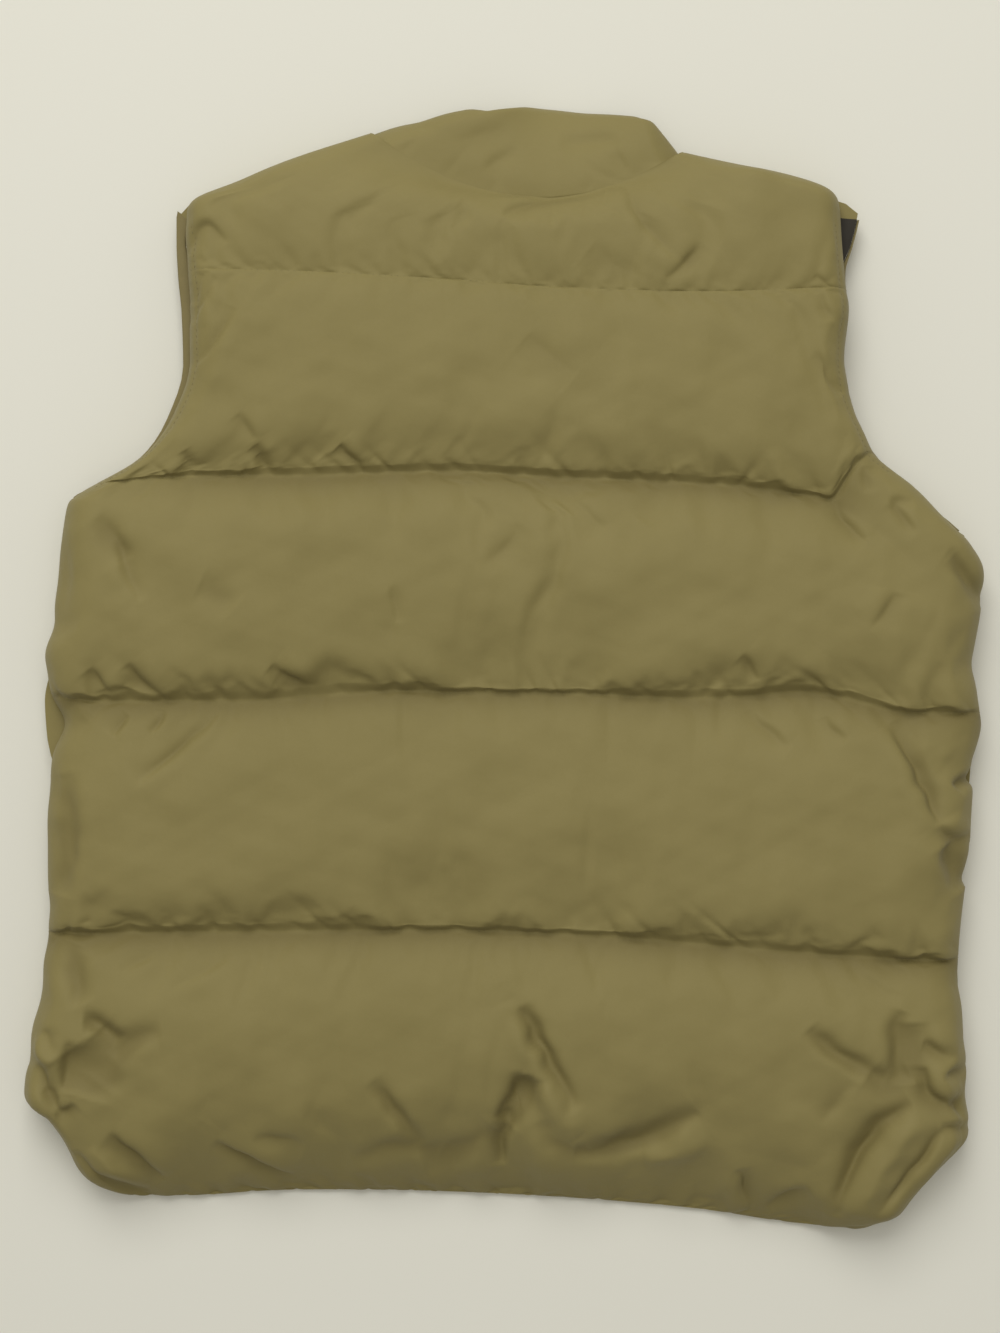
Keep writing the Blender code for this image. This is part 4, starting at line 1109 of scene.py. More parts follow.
make_back(["back_tail_cloth", "back_waist_cloth", "back_chest_cloth", "back_blades_cloth"],
          panel, "back_panel")
make_back(["back_yoke_cloth"], yoke, "back_yoke")

# %% [markdown]
# ## The fronts
#
# The two fronts carry the vest, so their outer faces are underneath and pressed
# flat where they rest. They use the same channels, drawn as sections that run from
# the side edge to the middle of the front, and later to the neckline.

# %% The fronts' pattern
FrontSection = namedtuple(
    "FrontSection",
    "name left_x left_y right_x right_y inner_left_y inner_right_y inner_left inner_right",
    defaults=[0.3, 0.3],  # below the neckline the fronts all but meet in the middle
)
FRONT_SECTIONS = rows_of(FrontSection, [
    ("hem", -274, -258, 266, -278, -262, -262),
    ("hem_corner", -283, -245, 274, -262, -250, -250),
    ("tail_low", -285, -229, 275, -238, -232, -232),
    ("tail_high", -276, -190, 274, -202, -196, -196),
    ("seam_4", -273, -158, 273, -173, -160, -160),
    ("waist_low", -269, -121, 276, -118, -116, -116),
    ("waist_high", -268, -72, 280, -72, -66, -66),
    ("waist_lobe", -274.5, -42, 282, -46, -38, -38),
    ("seam_3", -276, -19, 283, -26, -16, -16),
    ("chest_low", -270, 8, 280, 4, 14, 14),
    ("chest_high", -264, 53, 284.5, 53, 58, 58),
    ("underarm", -261, 100, 279, 77, 98, 98),
    ("seam_2", -243, 112, 243, 109, 114, 114),
    ("arm_low", -217, 129, 224, 129, 134, 134),
    ("arm_mid", -203, 150, 211, 150, 160, 160),
    ("arm_high", -193, 183, 204, 183, 185, 185),
    ("arm_top", -194, 215, 206, 215, 210, 210),
    ("seam_1", -196, 236, 206, 238, 227, 227),
    ("yoke_low", -197, 257, 210.5, 255, 233, 232, 34, 36),
    ("shoulder_tip", -197, 274, 214.5, 272.5, 250, 246, 62, 66),
    ("shoulder_low", -166, 285, 181, 288, 275, 268, 82, 88),
    ("shoulder_high", -128, 303, 145, 298, 298, 288, 88, 100),
    ("neck", -90, 318, 117, 307, 314, 302, 86.5, 102.5),
])
FRONT_SEAMS = ["hem", "seam_4", "seam_3", "seam_2", "seam_1", "neck"]
FRONT_SEAM, FRONT_PAD, FRONT_ROLL = 5.0 * MM, 19.5 * MM, 20 * MM
CENTRE_X = 4 * MM
FRONT_CREASES = rows_of(Crease, [
    # The wearer's left front, from the armhole down.
    (-176, 206, -158, 190, -134, 184, 5.0, 6.0, 1.2),
    (-66, 204, -60, 184, -62, 162, 4.6, 5.5, 1.0),
    (-206, 128, -190, 136, -168, 138, 4.2, 6.0, 1.2),
    (-240, 92, -222, 78, -198, 70, 4.4, 7.0, 1.6),
    (-262, 44, -246, 30, -234, 10, 5.2, 6.5, 1.4),
    (-178, 62, -160, 46, -148, 26, 6.5, 5.0, 1.0),
    (-92, 14, -82, 32, -80, 54, 5.0, 5.5, 1.0),
    (-256, -88, -234, -100, -214, -122, 5.0, 7.0, 1.6),
    (-152, -52, -128, -68, -98, -72, 6.0, 5.5, 1.0),
    (-58, -122, -50, -98, -50, -72, 4.4, 5.5, 1.0),
    (-196, -136, -178, -126, -160, -128, 4.6, 5.0, 1.0),
    (-252, -200, -226, -208, -194, -230, 5.0, 7.5, 1.8),
    (-124, -186, -98, -202, -66, -208, 5.6, 6.0, 1.2),
    # The wearer's right front.
    (188, 208, 166, 196, 140, 200, 5.0, 6.0, 1.2),
    (84, 176, 78, 192, 84, 210, 4.8, 5.0, 1.0),
    (212, 126, 196, 138, 170, 142, 4.4, 6.0, 1.2),
    (252, 84, 232, 72, 206, 70, 4.6, 7.0, 1.6),
    (270, 30, 250, 22, 236, 4, 5.4, 6.5, 1.4),
    (130, 78, 116, 60, 112, 36, 6.5, 5.0, 1.0),
    (50, 20, 62, 34, 66, 56, 4.6, 5.5, 1.0),
    (262, -60, 240, -82, 218, -92, 5.2, 7.0, 1.6),
    (172, -128, 148, -112, 122, -112, 6.0, 5.5, 1.0),
    (60, -48, 66, -74, 84, -92, 4.6, 5.5, 1.0),
    (252, -196, 224, -206, 200, -232, 5.2, 7.5, 1.8),
    (118, -232, 92, -216, 60, -214, 5.4, 6.0, 1.2),
])
FLY_MARGIN, NECK_MARGIN = 19 * MM, 3 * MM  # the unpadded edge by the closure and the neck
FLY_EDGE, FLY_HEM_EDGE = 4.0 * MM, 1.2 * MM
TAPE_WIDTH, TAPE_LEAST_WIDTH, TAPE_THICK = 5.5 * MM, 0.4 * MM, 2.4 * MM
LINING_WIDTH, LINING_SHOWS_Y = 15 * MM, (176, 257)  # the left armhole gapes a little there
FRONT_ARMHOLE = ("underarm", "seam_2", "yoke_low", "shoulder_tip")
FRONT_CROWDING, FRONT_WAVE, FRONT_WAVELENGTH = 0.75, 0.5 * MM, 45 * MM
TAPE_BEFORE_TIP, TAPE_PAST_TIP = 1 * MM, 6 * MM  # the tape narrows to nothing between these
RIGHT_TAPE_HIDDEN, LEFT_TAPE_WIDER, LINING_GAPE = 0.75, 0.45, 9 * MM
FLY_EDGE_REACH = 24 * MM


def front_edge(side, rows):
    """A front's stations, its outer edge at each, the way in, and the tape's width."""
    knots = table_knots(FRONT_SECTIONS)
    at_seam = knots_of(FRONT_SECTIONS, FRONT_SEAMS)
    at, share, _, seam_rows = crowded_rows(at_seam, [rows] * (len(FRONT_SEAMS) - 1), FRONT_CROWDING)
    edge = np.stack(
        [curve_through(knots, column(FRONT_SECTIONS, f"{side}_{axis}"), at) for axis in "xy"],
        axis=-1,
    )
    run = np.gradient(edge, axis=0)
    run /= np.linalg.norm(run, axis=1, keepdims=True)
    inward = np.stack([run[:, 1], -run[:, 0]], axis=-1) * (1 if side == "left" else -1)
    low, full, last, high = knots_of(FRONT_SECTIONS, FRONT_ARMHOLE)
    past_tip = smoothstep(at, high - TAPE_BEFORE_TIP, high + TAPE_PAST_TIP)
    tape = TAPE_WIDTH * smoothstep(at, low, full) * (1 - past_tip)
    if side == "right":
        (arm_top,) = knots_of(FRONT_SECTIONS, ["arm_top"])
        tape *= 1 - RIGHT_TAPE_HIDDEN * smoothstep(at, arm_top, last)
    else:
        shown = sum(bell(edge[:, 1] - y * MM, LINING_GAPE) for y in LINING_SHOWS_Y)
        tape *= 1 + LEFT_TAPE_WIDER * (1 - shown)
    tape[tape < TAPE_LEAST_WIDTH] = 0
    return at, share, seam_rows, edge, inward, tape


print(len(FRONT_SECTIONS), "sections of the fronts")


# %% Make the fronts
def make_front(side, seed, rows=22, columns=58):
    """The same swelling turned upside down: bottom = top - edge - (pad - edge) * form * roll."""
    knots = table_knots(FRONT_SECTIONS)
    at, share, seam_rows, edge, inward, tape = front_edge(side, rows)
    edge = edge + inward * np.where(tape > 0, tape + SEAM_GAP, 0)[:, None]
    towards = -1 if side == "left" else 1
    offset, centre_y = (
        curve_through(knots, column(FRONT_SECTIONS, f"inner_{side}{end}"), at) for end in ("", "_y")
    )
    centre_x = CENTRE_X + towards * offset
    run = np.stack([centre_x, centre_y], axis=-1) - edge
    width = np.hypot(run[:, 0], run[:, 1])[:, None]
    past_fly = smoothstep(at, *knots_of(FRONT_SECTIONS, ["seam_1", "yoke_low"]))
    margin = FLY_MARGIN + (NECK_MARGIN - FLY_MARGIN) * past_fly[:, None]
    roll = FRONT_ROLL * (1 - np.cos(np.linspace(0, np.pi / 2, 9)))
    near = np.tile(roll, (len(at), 1))
    far = np.concatenate([0 * margin, margin / 2, margin + roll], axis=1)
    scale = np.minimum(1, width / (1.2 * (near[:, -1:] + far[:, -1:])))
    near, far = near * scale, far * scale
    between = np.linspace(0, 1, columns + 1)[None, 1:-1]
    middle = near[:, -1:] + (width - near[:, -1:] - far[:, -1:]) * between
    distance = np.concatenate([near, middle, width - far[:, ::-1]], axis=1)
    plan = edge[:, None] + run[:, None] * (distance / width)[..., None]
    from_side, from_centre = distance / scale, (width - distance) / scale
    rolled = edge_roll(from_side, FRONT_ROLL) * edge_roll(from_centre - margin, FRONT_ROLL)
    slope = smoothstep(plan[..., 1], FRONT_GROUND_Y, FRONT_PLANE_Y)
    top = (INNER_PLANE + SEAM_GAP) * slope - SEAM_GAP
    form = scale * channel_form(share, 0.5)[:, None]
    fly_edge = FLY_HEM_EDGE + (FLY_EDGE - FLY_HEM_EDGE) * slope
    at_edge = np.where(from_centre < margin + FLY_EDGE_REACH, fly_edge, RIM)
    at_edge = at_edge + (FRONT_SEAM - at_edge) * rolled
    x, y = plan[..., 0], plan[..., 1]
    relief = FRONT_WAVE * slow_waves(x, y, FRONT_WAVELENGTH, seed) * form * rolled
    for number, (low, high) in enumerate(zip(seam_rows, seam_rows[1:])):
        span = slice(low, high + 1)
        relief[span] += pucker_relief(x[span], y[span] - y[low], BELOW_SEAM, seed + number)
        relief[span] += pucker_relief(x[span], y[high] - y[span], ABOVE_SEAM, seed + 10 + number)
    relief += crease_relief(x, y, FRONT_CREASES)
    past_margin = smoothstep(from_centre, margin, margin + FRONT_ROLL)
    relief *= edge_roll(from_side, FRONT_ROLL) * past_margin
    below = top - at_edge - (FRONT_PAD - at_edge) * form * rolled - relief
    below = np.minimum(np.maximum(0, below), top - LEAST_PANEL)
    outer = np.dstack([plan, below])
    inner = np.dstack([plan, top])
    turn = 1 if side == "right" else -1
    front = close_panel(f"front_{side}_cloth", outer, inner, shell, turn)
    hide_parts(f"front_{side}")
    return front


for side, seed in (("left", 101), ("right", 131)):
    front = make_front(side, seed)
    print(front.name, len(front.data.polygons), "faces")

# %% [markdown]
# ## Tape and lining at the armholes
#
# A tape binds the front half of each armhole. It is a strip with a flat oval
# section, carried along the armhole's edge. Inside it the dark lining shows where
# the armhole gapes, so the lining is a crescent of thin cloth, a little rumpled.


# %% Make the tapes and linings
TAPE_RIPPLE, RIPPLE_STEP, TAPE_FLATNESS = 0.12 * MM, 0.9, 0.6
LINING_LOFT, LINING_WAVE, LINING_WAVELENGTH = 0.75 * MM, 0.3 * MM, 11 * MM
LINING_WAVE_LIMIT, LINING_END = 0.25 * MM, 1.5 * MM


def make_tape(side):
    """An oval section with flat sides, (cos a, |sin a|^0.6 sin a), carried along the edge."""
    _, _, _, edge, inward, tape = front_edge(side, 30)
    edge, inward, tape = (values[tape > 0] for values in (edge, inward, tape))
    angle = np.linspace(0, 2 * np.pi, 17)[:-1]
    across = (1 - np.cos(angle)) / 2
    around = np.sign(np.sin(angle)) * np.abs(np.sin(angle)) ** TAPE_FLATNESS
    plan = edge[:, None] + inward[:, None] * (tape[:, None] * across)[..., None]
    wave = np.sin(np.cumsum(np.full(len(edge), RIPPLE_STEP)))[:, None]
    ripple = TAPE_RIPPLE * wave * np.abs(around)
    height = INNER_PLANE - TAPE_THICK / 2 + around * (TAPE_THICK / 2) + ripple - TAPE_RIPPLE
    points = np.dstack([plan, height])
    faces = closed_tube(*points.shape[:2], 1 if side == "right" else -1)
    name = f"armhole_tape_{side}_cloth"
    strip = make_mesh(name, points.reshape(-1, 3), faces, tape_cloth)
    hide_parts(f"armhole_tape_{side}")
    return strip


def make_lining(side):
    """A band that widens over its first third, with waves in its height."""
    at, _, _, edge, inward, tape = front_edge(side, 30)
    low, high = knots_of(FRONT_SECTIONS, ["arm_low", "shoulder_tip"])
    lined = (at > low) & (at < high - LINING_END)
    edge, inward, tape = (values[lined] for values in (edge, inward, tape))
    crescent = smoothstep(np.linspace(0, 1, len(edge)), 0, 0.3)
    width = LINING_WIDTH * (0.15 + 0.85 * crescent)
    reach = tape[:, None] + SEAM_GAP + width[:, None] * np.linspace(0, 1, 12)
    plan = edge[:, None] + inward[:, None] * reach[..., None]
    low = INNER_PLANE + SEAM_GAP + np.zeros(plan.shape[:2])
    wave = LINING_WAVE * slow_waves(plan[..., 0], plan[..., 1], LINING_WAVELENGTH, 7)
    high = low + LINING_LOFT + wave.clip(-LINING_WAVE_LIMIT, LINING_WAVE_LIMIT)
    upper, lower = np.dstack([plan, high]), np.dstack([plan, low])
    turn = 1 if side == "left" else -1
    name = f"armhole_lining_{side}_cloth"
    crescent_piece = close_panel(name, upper, lower, lining_cloth, turn)
    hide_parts(f"armhole_lining_{side}")
    return crescent_piece


for side in ("left", "right"):
    strip = make_tape(side)
    crescent_piece = make_lining(side)
    print(strip.name, "and", crescent_piece.name)

# %% [markdown]
# ## The stand collar
#
# The collar is one padded band. Half of it lies with the fronts and half with the
# back, so it turns over at both sides of the neck. It is drawn as bands from the
# middle of the front, round behind the neck and back. Turn says how far a band has
# gone over, from 1 on the fronts' side to 0 on the back's, and the cloth stands off
# from the fold by its thickness in that direction.

# %% The collar's bands
Band = namedtuple("Band", "name low_x low_y top_x top_y turn out_x out_y foot pad")
COLLAR_BANDS = rows_of(Band, [
    ("front_left_end", 3.4, 229, 3.4, 278, 1.0, -1, 0, 4, 12),
    ("front_left_inner", -29, 235, -22, 283, 1.0, -1, 0, 4, 12),
    ("front_left_outer", -57, 252, -38, 296, 1.0, -1, 0.2, 4, 12),
    ("front_left_side", -76, 277, -46, 309, 1.0, -1, 0.3, 4, 12),
    ("left_under", -82, 301, -42, 318, 1.0, -0.9, 0.5, 4, 10),
    ("left_turn_low", -78, 314, -26, 324.5, 0.78, -0.6, 0.8, 4, 7.5),
    ("left_turn", -76.5, 319.4, -20, 330, 0.5, -0.4, 0.9, 6, 7),
    ("left_turn_high", -73, 317.8, -14, 332.5, 0.22, -0.3, 0.9, 8, 8.5),
    ("left_over", -66, 313.8, -6, 335.5, 0.0, -0.3, 0.9, 13.3, 13),
    ("back_left_outer", -50, 304.5, 6, 338, 0.0, 0, 1, 13.3, 13.6),
    ("back_left", -22, 292.6, 16, 339.5, 0.0, 0, 1, 13.1, 13.8),
    ("back", 8, 286.3, 30, 339, 0.0, 0, 1, 12.7, 13.8),
    ("back_right", 42, 286.9, 50, 336.5, 0.0, 0, 1, 12.7, 13.8),
    ("back_right_outer", 70, 293.7, 68, 334.5, 0.0, 0.3, 1, 13.3, 13.6),
    ("right_over", 92, 303, 81, 332, 0.0, 0.8, 0.6, 13.3, 13),
    ("right_turn_high", 100, 306.8, 82.5, 328.5, 0.22, 0.9, 0.5, 8, 8),
    ("right_turn", 104, 308.6, 83, 327, 0.5, 1, 0.4, 5, 6),
    ("right_turn_low", 104, 304, 79.5, 322, 0.78, 1, 0.2, 4, 6.5),
    ("right_under", 102, 296, 77, 315, 1.0, 1, 0, 4, 9),
    ("front_right_side", 91.5, 270, 64, 301, 1.0, 1, 0, 4, 12),
    ("front_right_outer", 68.5, 248, 51, 288, 1.0, 1, 0, 4, 12),
    ("front_right_inner", 38, 234, 30, 280, 1.0, 1, 0, 4, 12),
    ("front_right_end", 4.6, 229, 4.6, 278, 1.0, 1, 0, 4, 12),
])
COLLAR_TOP_EDGE, COLLAR_GAP, COLLAR_FOLD = 4.5 * MM, -0.4 * MM, 0.8 * MM
COLLAR_SETTLE, COLLAR_BACK_X, COLLAR_BACK_SPREAD = 13.5 * MM, 18 * MM, 62 * MM
COLLAR_LEAST = 0.6 * MM  # how thin its top edge is, and how near it comes to the ground
COLLAR_HEIGHT = 48  # millimetres of cloth up the collar, for its puckers
COLLAR_TOP_ROLL, COLLAR_WAVE, COLLAR_WAVELENGTH = 0.09, 0.35 * MM, 30 * MM
SETTLES_FROM, SETTLES_TO, SETTLES_WITHIN = 0.1, 1.05, radians(45)
COLLAR_CREASES = rows_of(Crease, [
    (-52, 326, -45, 325, -38, 322, 2.6, 1.2, 0.4),
    (-10, 295, -3, 304, 10, 309, 3.2, 1.6, 0.5),
    (34, 314, 52, 317.5, 69, 317, 4.2, 2.6, 0.8),
    (66, 309, 70, 302, 73, 294, 3.2, 1.8, 0.5),
    (-30, 312, -14, 319, 4, 322, 6.0, 1.0, 0.3),
])


def neck_edge(x):
    """The y of the back's neck edge at x: its chord and its rise, as for any section."""
    neck = BACK_SECTIONS[-1]
    u = (x / MM - neck.left_x) / (neck.right_x - neck.left_x)
    return (neck.left_y + (neck.right_y - neck.left_y) * u + neck.rise * 4 * u * (1 - u)) * MM


# %% Make the collar
def make_collar(around=240, up=30):
    """A band whose two faces stand off from its fold by thickness * (sin turn, cos turn)."""
    steps = np.hypot(*(np.diff(column(COLLAR_BANDS, f"low_{axis}")) for axis in "xy"))
    knots = np.concatenate([[0], np.cumsum(np.maximum(steps, 2 * MM))])
    at = np.linspace(0, knots[-1], around)

    def along(field):
        return curve_through(knots, column(COLLAR_BANDS, field), at)

    low = np.stack([along("low_x"), along("low_y")], axis=-1)
    top = np.stack([along("top_x"), along("top_y")], axis=-1)
    foot, pad = along("foot")[:, None], along("pad")[:, None]
    turn = along("turn") / MM * np.pi
    on_back = turn < radians(91)
    low[on_back, 1] = neck_edge(low[on_back, 0]) + COLLAR_GAP
    out = [np.interp(at, knots, column(COLLAR_BANDS, f"out_{axis}")) for axis in "xy"]
    out = np.stack(out / np.hypot(*out), axis=-1)
    low = low - 0.6 * out * (COLLAR_FOLD + foot) * np.sin(turn)[:, None]
    w = (1 - np.cos(np.linspace(0, np.pi, up))) / 2
    plan = low[:, None] + (top - low)[:, None] * w[None, :, None]
    edge = foot + (COLLAR_TOP_EDGE - foot) * w
    swelling = edge + (pad - edge) * np.sin(np.pi * w) ** FULLNESS
    thick = COLLAR_LEAST + (swelling - COLLAR_LEAST) * edge_roll(1 - w, COLLAR_TOP_ROLL)
    behind = bell(low[:, 0] - COLLAR_BACK_X, COLLAR_BACK_SPREAD)
    behind *= np.clip(1 - turn / SETTLES_WITHIN, 0, 1)
    sunk = COLLAR_SETTLE * behind[:, None] * smoothstep(w, SETTLES_FROM, SETTLES_TO)
    height = INNER_PLANE + SEAM_GAP / 2 - sunk

    def layer(distance):
        shift = distance * np.sin(turn)[:, None]
        flat = plan + out[:, None] * np.broadcast_to(shift, plan.shape[:2])[..., None]
        return np.dstack([flat, height + distance * np.cos(turn)[:, None]])[:, ::-1]

    outer, inner = layer(COLLAR_FOLD + thick), layer(np.full((1, up), COLLAR_FOLD))
    normals = grid_normals(outer)
    facing_up = normals[..., 2].clip(0)
    full = (np.sin(np.pi * w) ** 0.5)[None, ::-1]
    relief = crease_relief(outer[..., 0], outer[..., 1], COLLAR_CREASES) * facing_up
    relief += COLLAR_WAVE * slow_waves(outer[..., 0], outer[..., 1], COLLAR_WAVELENGTH, 61)
    relief += 0.5 * pucker_relief(np.broadcast_to(at[:, None], relief.shape),
                                  (w[::-1] * COLLAR_HEIGHT * MM)[None, :], ABOVE_SEAM, 62)
    outer = outer + normals * (relief * full)[..., None]
    outer[..., 2] = np.maximum(outer[..., 2], COLLAR_LEAST)
    collar = close_panel("collar_cloth", outer, inner, shell, plain=12)
    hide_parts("collar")
    return collar


collar = make_collar()
print(collar.name, len(collar.data.polygons), "faces")

# %% [markdown]
# ## The fly strip and its press studs
#
# Under the fronts, a flat strip joins them and carries six press studs. The strip
# is a thin sheet with rounded edges, and a stud is a profile turned round its axis:
# a low dome with a raised rim. Each cap is the same profile put in another place.

# %% Make the closure
FLY_WIDTH, FLY_THICK, FLY_GAP = 36 * MM, 2.0 * MM, 0.6 * MM
FLY_LOW, FLY_HIGH = -259 * MM, 226 * MM
FLY_ROUNDING, FLY_LEAST_HEIGHT = 1.5 * MM, 0.3 * MM
FLY_STITCH, FLY_GROOVE_WIDTH, FLY_GROOVE_DEPTH = 4 * MM, 0.9 * MM, 0.35 * MM
STUD_Y = np.linspace(-150, 215, 6) * MM
STUD_TOP = INNER_PLANE - FLY_EDGE - FLY_GAP - FLY_THICK - SEAM_GAP


def make_fly_strip():
    """A flat sheet, thinner by a quarter ellipse at its long edges, with a stitched groove."""
    y = np.linspace(FLY_LOW, FLY_HIGH, 160)
    half = FLY_WIDTH / 2
    x = half * np.sin(np.linspace(-np.pi / 2, np.pi / 2, 29))
    slope = smoothstep(y, FRONT_GROUND_Y, FRONT_PLANE_Y)[:, None]
    top = (INNER_PLANE + SEAM_GAP) * slope - SEAM_GAP
    top = top - (FLY_HEM_EDGE + (FLY_EDGE - FLY_HEM_EDGE) * slope) - FLY_GAP
    from_edge = half - np.abs(x)
    full = 0.3 + 0.7 * edge_roll(from_edge, FLY_ROUNDING)
    groove = FLY_GROOVE_DEPTH * bell(from_edge - FLY_STITCH, FLY_GROOVE_WIDTH)
    upper = np.broadcast_to(top - 0 * x, (len(y), len(x)))
    lower = upper - FLY_THICK * full + groove
    plan = np.stack(np.meshgrid(CENTRE_X + x, y), axis=-1)
    upper, lower = np.dstack([plan, upper]), np.dstack([plan, np.maximum(lower, FLY_LEAST_HEIGHT)])
    strip = close_panel("fly_strip_cloth", upper, lower, tape_cloth)
    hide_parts("fly_strip")
    return strip


def turned(profile, centre, sides=40):
    """Points of a profile (radius, drop) carried round a vertical axis, with one pole."""
    angle = np.linspace(0, 2 * np.pi, sides + 1)[:-1]
    radius, drop = profile[:, 0], profile[:, 1]
    x = centre[0] + radius[:, None] * np.cos(angle)
    y = centre[1] + radius[:, None] * np.sin(angle)
    z = centre[2] - np.broadcast_to(drop[:, None], x.shape)
    return np.dstack([x, y, z])


def stud_metal():
    """Antique brass: metal with a dark patina in a noise's hollows."""
    material, nodes, link, shader = new_material("antique brass")
    place, noise = nodes.new("ShaderNodeTexCoord"), nodes.new("ShaderNodeTexNoise")
    ramp = nodes.new("ShaderNodeValToRGB")
    noise.inputs["Scale"].default_value = 320
    noise.inputs["Detail"].default_value = 4
    ramp.color_ramp.elements[0].color = (0.20, 0.13, 0.05, 1)
    ramp.color_ramp.elements[1].color = (0.52, 0.38, 0.17, 1)
    link(place.outputs["Object"], noise.inputs["Vector"])
    link(noise.outputs["Fac"], ramp.inputs["Fac"])
    link(ramp.outputs["Color"], shader.inputs["Base Color"])
    shader.inputs["Metallic"].default_value = 0.9
    shader.inputs["Roughness"].default_value = 0.38
    return material


def make_studs(metal):
    """Six caps: radius and drop of a flat back, a rolled rim, a groove and a low dome."""
    profile = np.array([
        (0.2, 0), (6.1, 0), (6.45, 0.3), (6.5, 0.8), (6.45, 1.4), (6.1, 1.85), (5.5, 2.0),
        (5.0, 1.85), (4.7, 1.55), (4.3, 1.6), (3.4, 1.95), (2.2, 2.25), (1.1, 2.37), (0.2, 2.4),
    ]) * MM
    for number, y in enumerate(STUD_Y, start=1):
        rings = turned(profile, (CENTRE_X, y, STUD_TOP))
        faces = closed_tube(*rings.shape[:2], -1)
        cap = make_mesh(f"press_stud_{number}_cap", rings.reshape(-1, 3), faces, metal)
        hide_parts(f"press_stud_{number}")


make_fly_strip()
make_studs(stud_metal())
print("fly strip and", len(STUD_Y), "press studs")

# %% [markdown]
# ## Stitches
#
# A lockstitch shows as a row of short threads, each sunk at both ends. One stitch
# is a spindle with six sides, and it is copied along every seam and along the
# groove inside the armholes. All the copies are one mesh of few faces each.


# %% Sew the seams
SIDES, RINGS = 6, 5  # of one stitch
STITCH_START, STITCH_LENGTH, STITCH_DIP = 0.15, 0.72, 1.4  # in pitches, and in radii


def stitch_row(path, pitch=3.6 * MM, radius=0.28 * MM):
    """Spindles along a path: at each, a ring's radius goes as sin(pi t) and it dips at its ends."""
    step = np.linalg.norm(np.diff(path, axis=0), axis=1)
    length = np.concatenate([[0], np.cumsum(step)])
    count = int(length[-1] / pitch)
    start = (np.arange(count) + STITCH_START) * pitch
    t = np.linspace(0, 1, RINGS)
    at = start[:, None] + STITCH_LENGTH * pitch * t
    spine = np.stack([np.interp(at, length, path[:, axis]) for axis in range(3)], axis=-1)
    ahead = spine[:, -1] - spine[:, 0]
    ahead /= np.linalg.norm(ahead, axis=-1, keepdims=True)
    side = np.cross(ahead, [0, 0, 1.0])
    side /= np.linalg.norm(side, axis=-1, keepdims=True)
    up = np.cross(side, ahead)
    angle = np.linspace(0, 2 * np.pi, SIDES + 1)[:-1]
    size = radius * (0.25 + 0.75 * np.sin(np.pi * t))[None, :, None, None]
    ring = side[:, None, None] * np.cos(angle)[:, None] + up[:, None, None] * np.sin(angle)[:, None]
    spine = spine - up[:, None] * (radius * STITCH_DIP * np.cos(np.pi * t) ** 2)[None, :, None]
    return (spine[:, :, None] + ring * size).reshape(-1, 3), count


def make_stitches(name, paths):
    """One mesh for many rows of stitches."""
    points, count = [], 0
    for path in paths:
        some, number = stitch_row(path)
        points.append(some)
        count += number
    *tube, near_end, far_end = closed_tube(RINGS, SIDES)
    first = SIDES * RINGS * np.arange(count)[:, None]
    faces = (first[..., None] + np.array(tube)).reshape(-1, 4).tolist()
    faces += (first + near_end).tolist() + (first + far_end).tolist()
    piece = make_mesh(name, np.concatenate(points), faces, thread)
    print(name, count, "stitches")
    return piece


STITCH_SUNK = [0, 0, -0.1 * MM]
seam_paths = [panel.points[row] + STITCH_SUNK for row in panel.seam_rows[1:-1]]
seam_paths.append(yoke.points[0] + STITCH_SUNK)
make_stitches("quilting_stitches", seam_paths)


def rim_paths(cloth):
    """The groove inside each armhole, as a path up the grid at a set distance from the edge."""
    rows = np.flatnonzero(cloth.arm[:, 0] > 0.5)
    paths = []
    middle = cloth.points.shape[1] // 2
    for part in (slice(0, middle), slice(middle, None)):
        nearest = np.abs(cloth.edge[rows, part] - EDGE_STITCH).argmin(axis=1)
        paths.append(cloth.points[rows, part][np.arange(len(rows)), nearest] + [0, 0, 0.1 * MM])
    return paths


make_stitches("armhole_stitches", rim_paths(panel) + rim_paths(yoke))

# %% [markdown]
# ## Floor, light and camera
#
# The vest lies on a pale sheet, and soft light falls from above and a little from
# the collar's side, so the lower half of each channel is darker. One large lamp
# does that, and an even sky fills the shadows. The camera looks straight down.

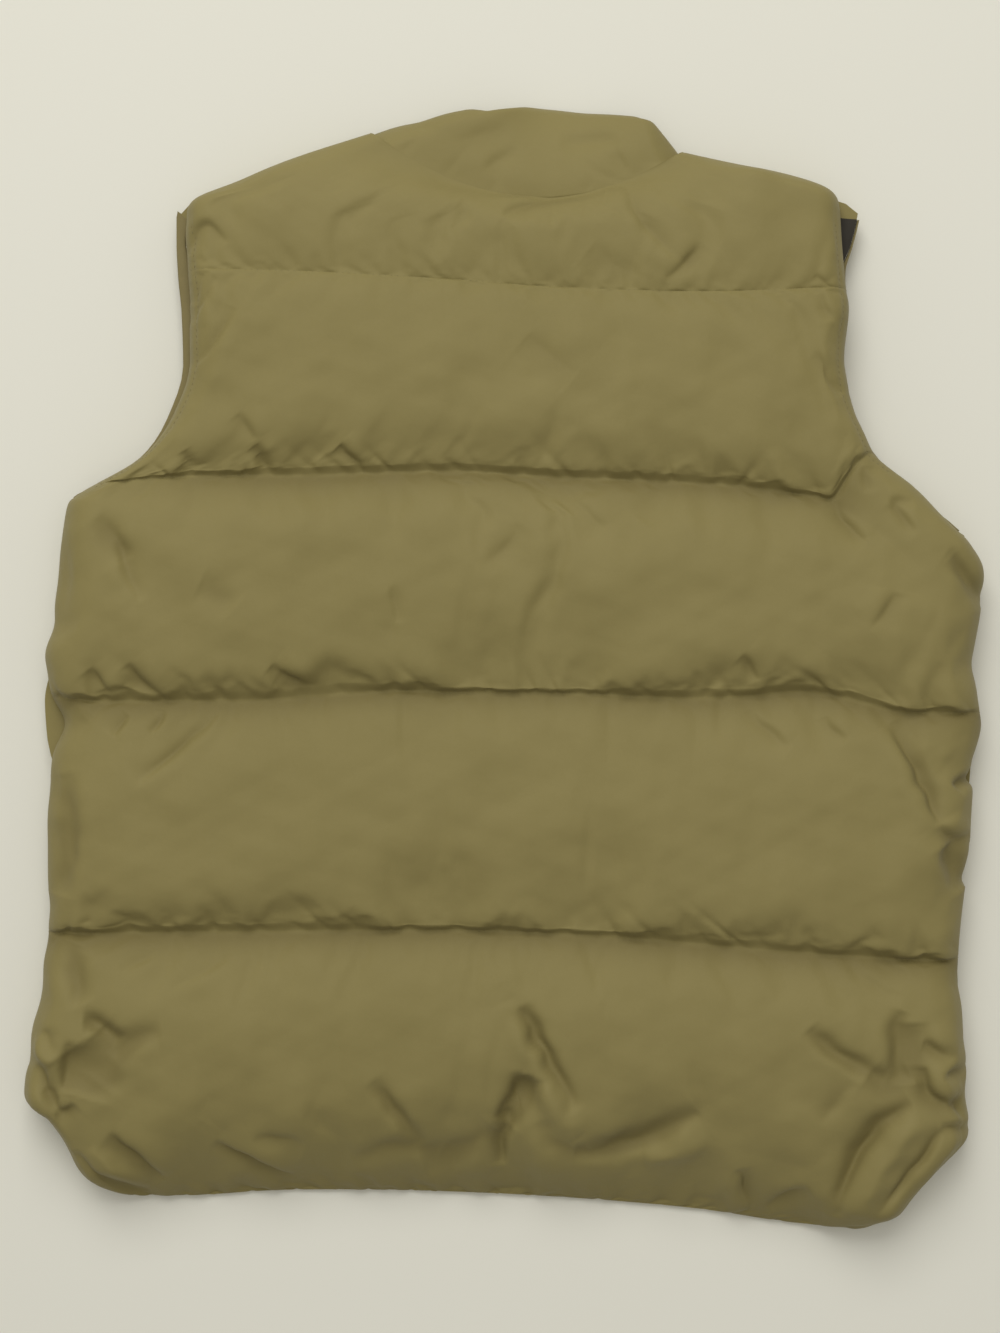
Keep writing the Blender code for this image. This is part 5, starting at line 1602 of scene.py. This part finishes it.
# %% Set the stage
FLOOR_COLOUR, LAMP_COLOUR, SKY_COLOUR = (0.80, 0.79, 0.70), (1.0, 0.99, 0.97), (1.0, 0.975, 0.92)
LAMP_SIZE, WINDOW_POWER, CEILING_POWER, SKY_STRENGTH = 2.4, 74, 13, 0.36


def floor_material():
    """A dull, even material for the sheet under the vest."""
    material, _, _, shader = new_material("pale sheet")
    shader.inputs["Base Color"].default_value = (*FLOOR_COLOUR, 1)
    shader.inputs["Roughness"].default_value = 0.85
    shader.inputs["Specular IOR Level"].default_value = 0.2
    return material


def make_floor(half=3.0):
    """One square face on the ground, half a side out from the middle each way."""
    mesh = bpy.data.meshes.new("floor")
    corners = [(-half, -half, 0), (half, -half, 0), (half, half, 0), (-half, half, 0)]
    mesh.from_pydata(corners, [], [(0, 1, 2, 3)])
    mesh.materials.append(floor_material())
    floor = put("floor", mesh)


def add_lamp(name, place, power):
    """A square lamp that faces the origin: its +Z axis runs from there to its place."""
    lamp = bpy.data.lights.new(name, "AREA")
    lamp.shape, lamp.size, lamp.energy, lamp.color = "SQUARE", LAMP_SIZE, power, LAMP_COLOUR
    holder = put(name, lamp)
    holder.location = place
    holder.rotation_euler = Vector(place).to_track_quat("Z", "Y").to_euler()


make_floor()
add_lamp("window", (-0.5, 2.4, 2.8), WINDOW_POWER)
add_lamp("ceiling", (-0.1, 0.3, 2.6), CEILING_POWER)
sky = bpy.data.worlds.new("room")
sky.use_nodes = True
background = sky.node_tree.nodes["Background"]
background.inputs["Color"].default_value = (*SKY_COLOUR, 1)
background.inputs["Strength"].default_value = SKY_STRENGTH
scene.world = sky
scene.view_settings.view_transform = "Standard"

# %% Place the camera
VIEW_HEIGHT = 0.8  # metres of floor from the top to the bottom of the picture
CAMERA_HEIGHT, FOCUS_HEIGHT = 1.45, 0.02
SENSOR = 36  # millimetres
camera_data = bpy.data.cameras.new("camera")
camera_data.sensor_fit = "VERTICAL"
camera_data.sensor_height = SENSOR
camera_data.lens = SENSOR * (CAMERA_HEIGHT - FOCUS_HEIGHT) / VIEW_HEIGHT
camera = put("camera", camera_data)
camera.location = (-0.0021, 0.0015, CAMERA_HEIGHT)
scene.camera = camera
print("lens", round(camera_data.lens, 1), "mm")
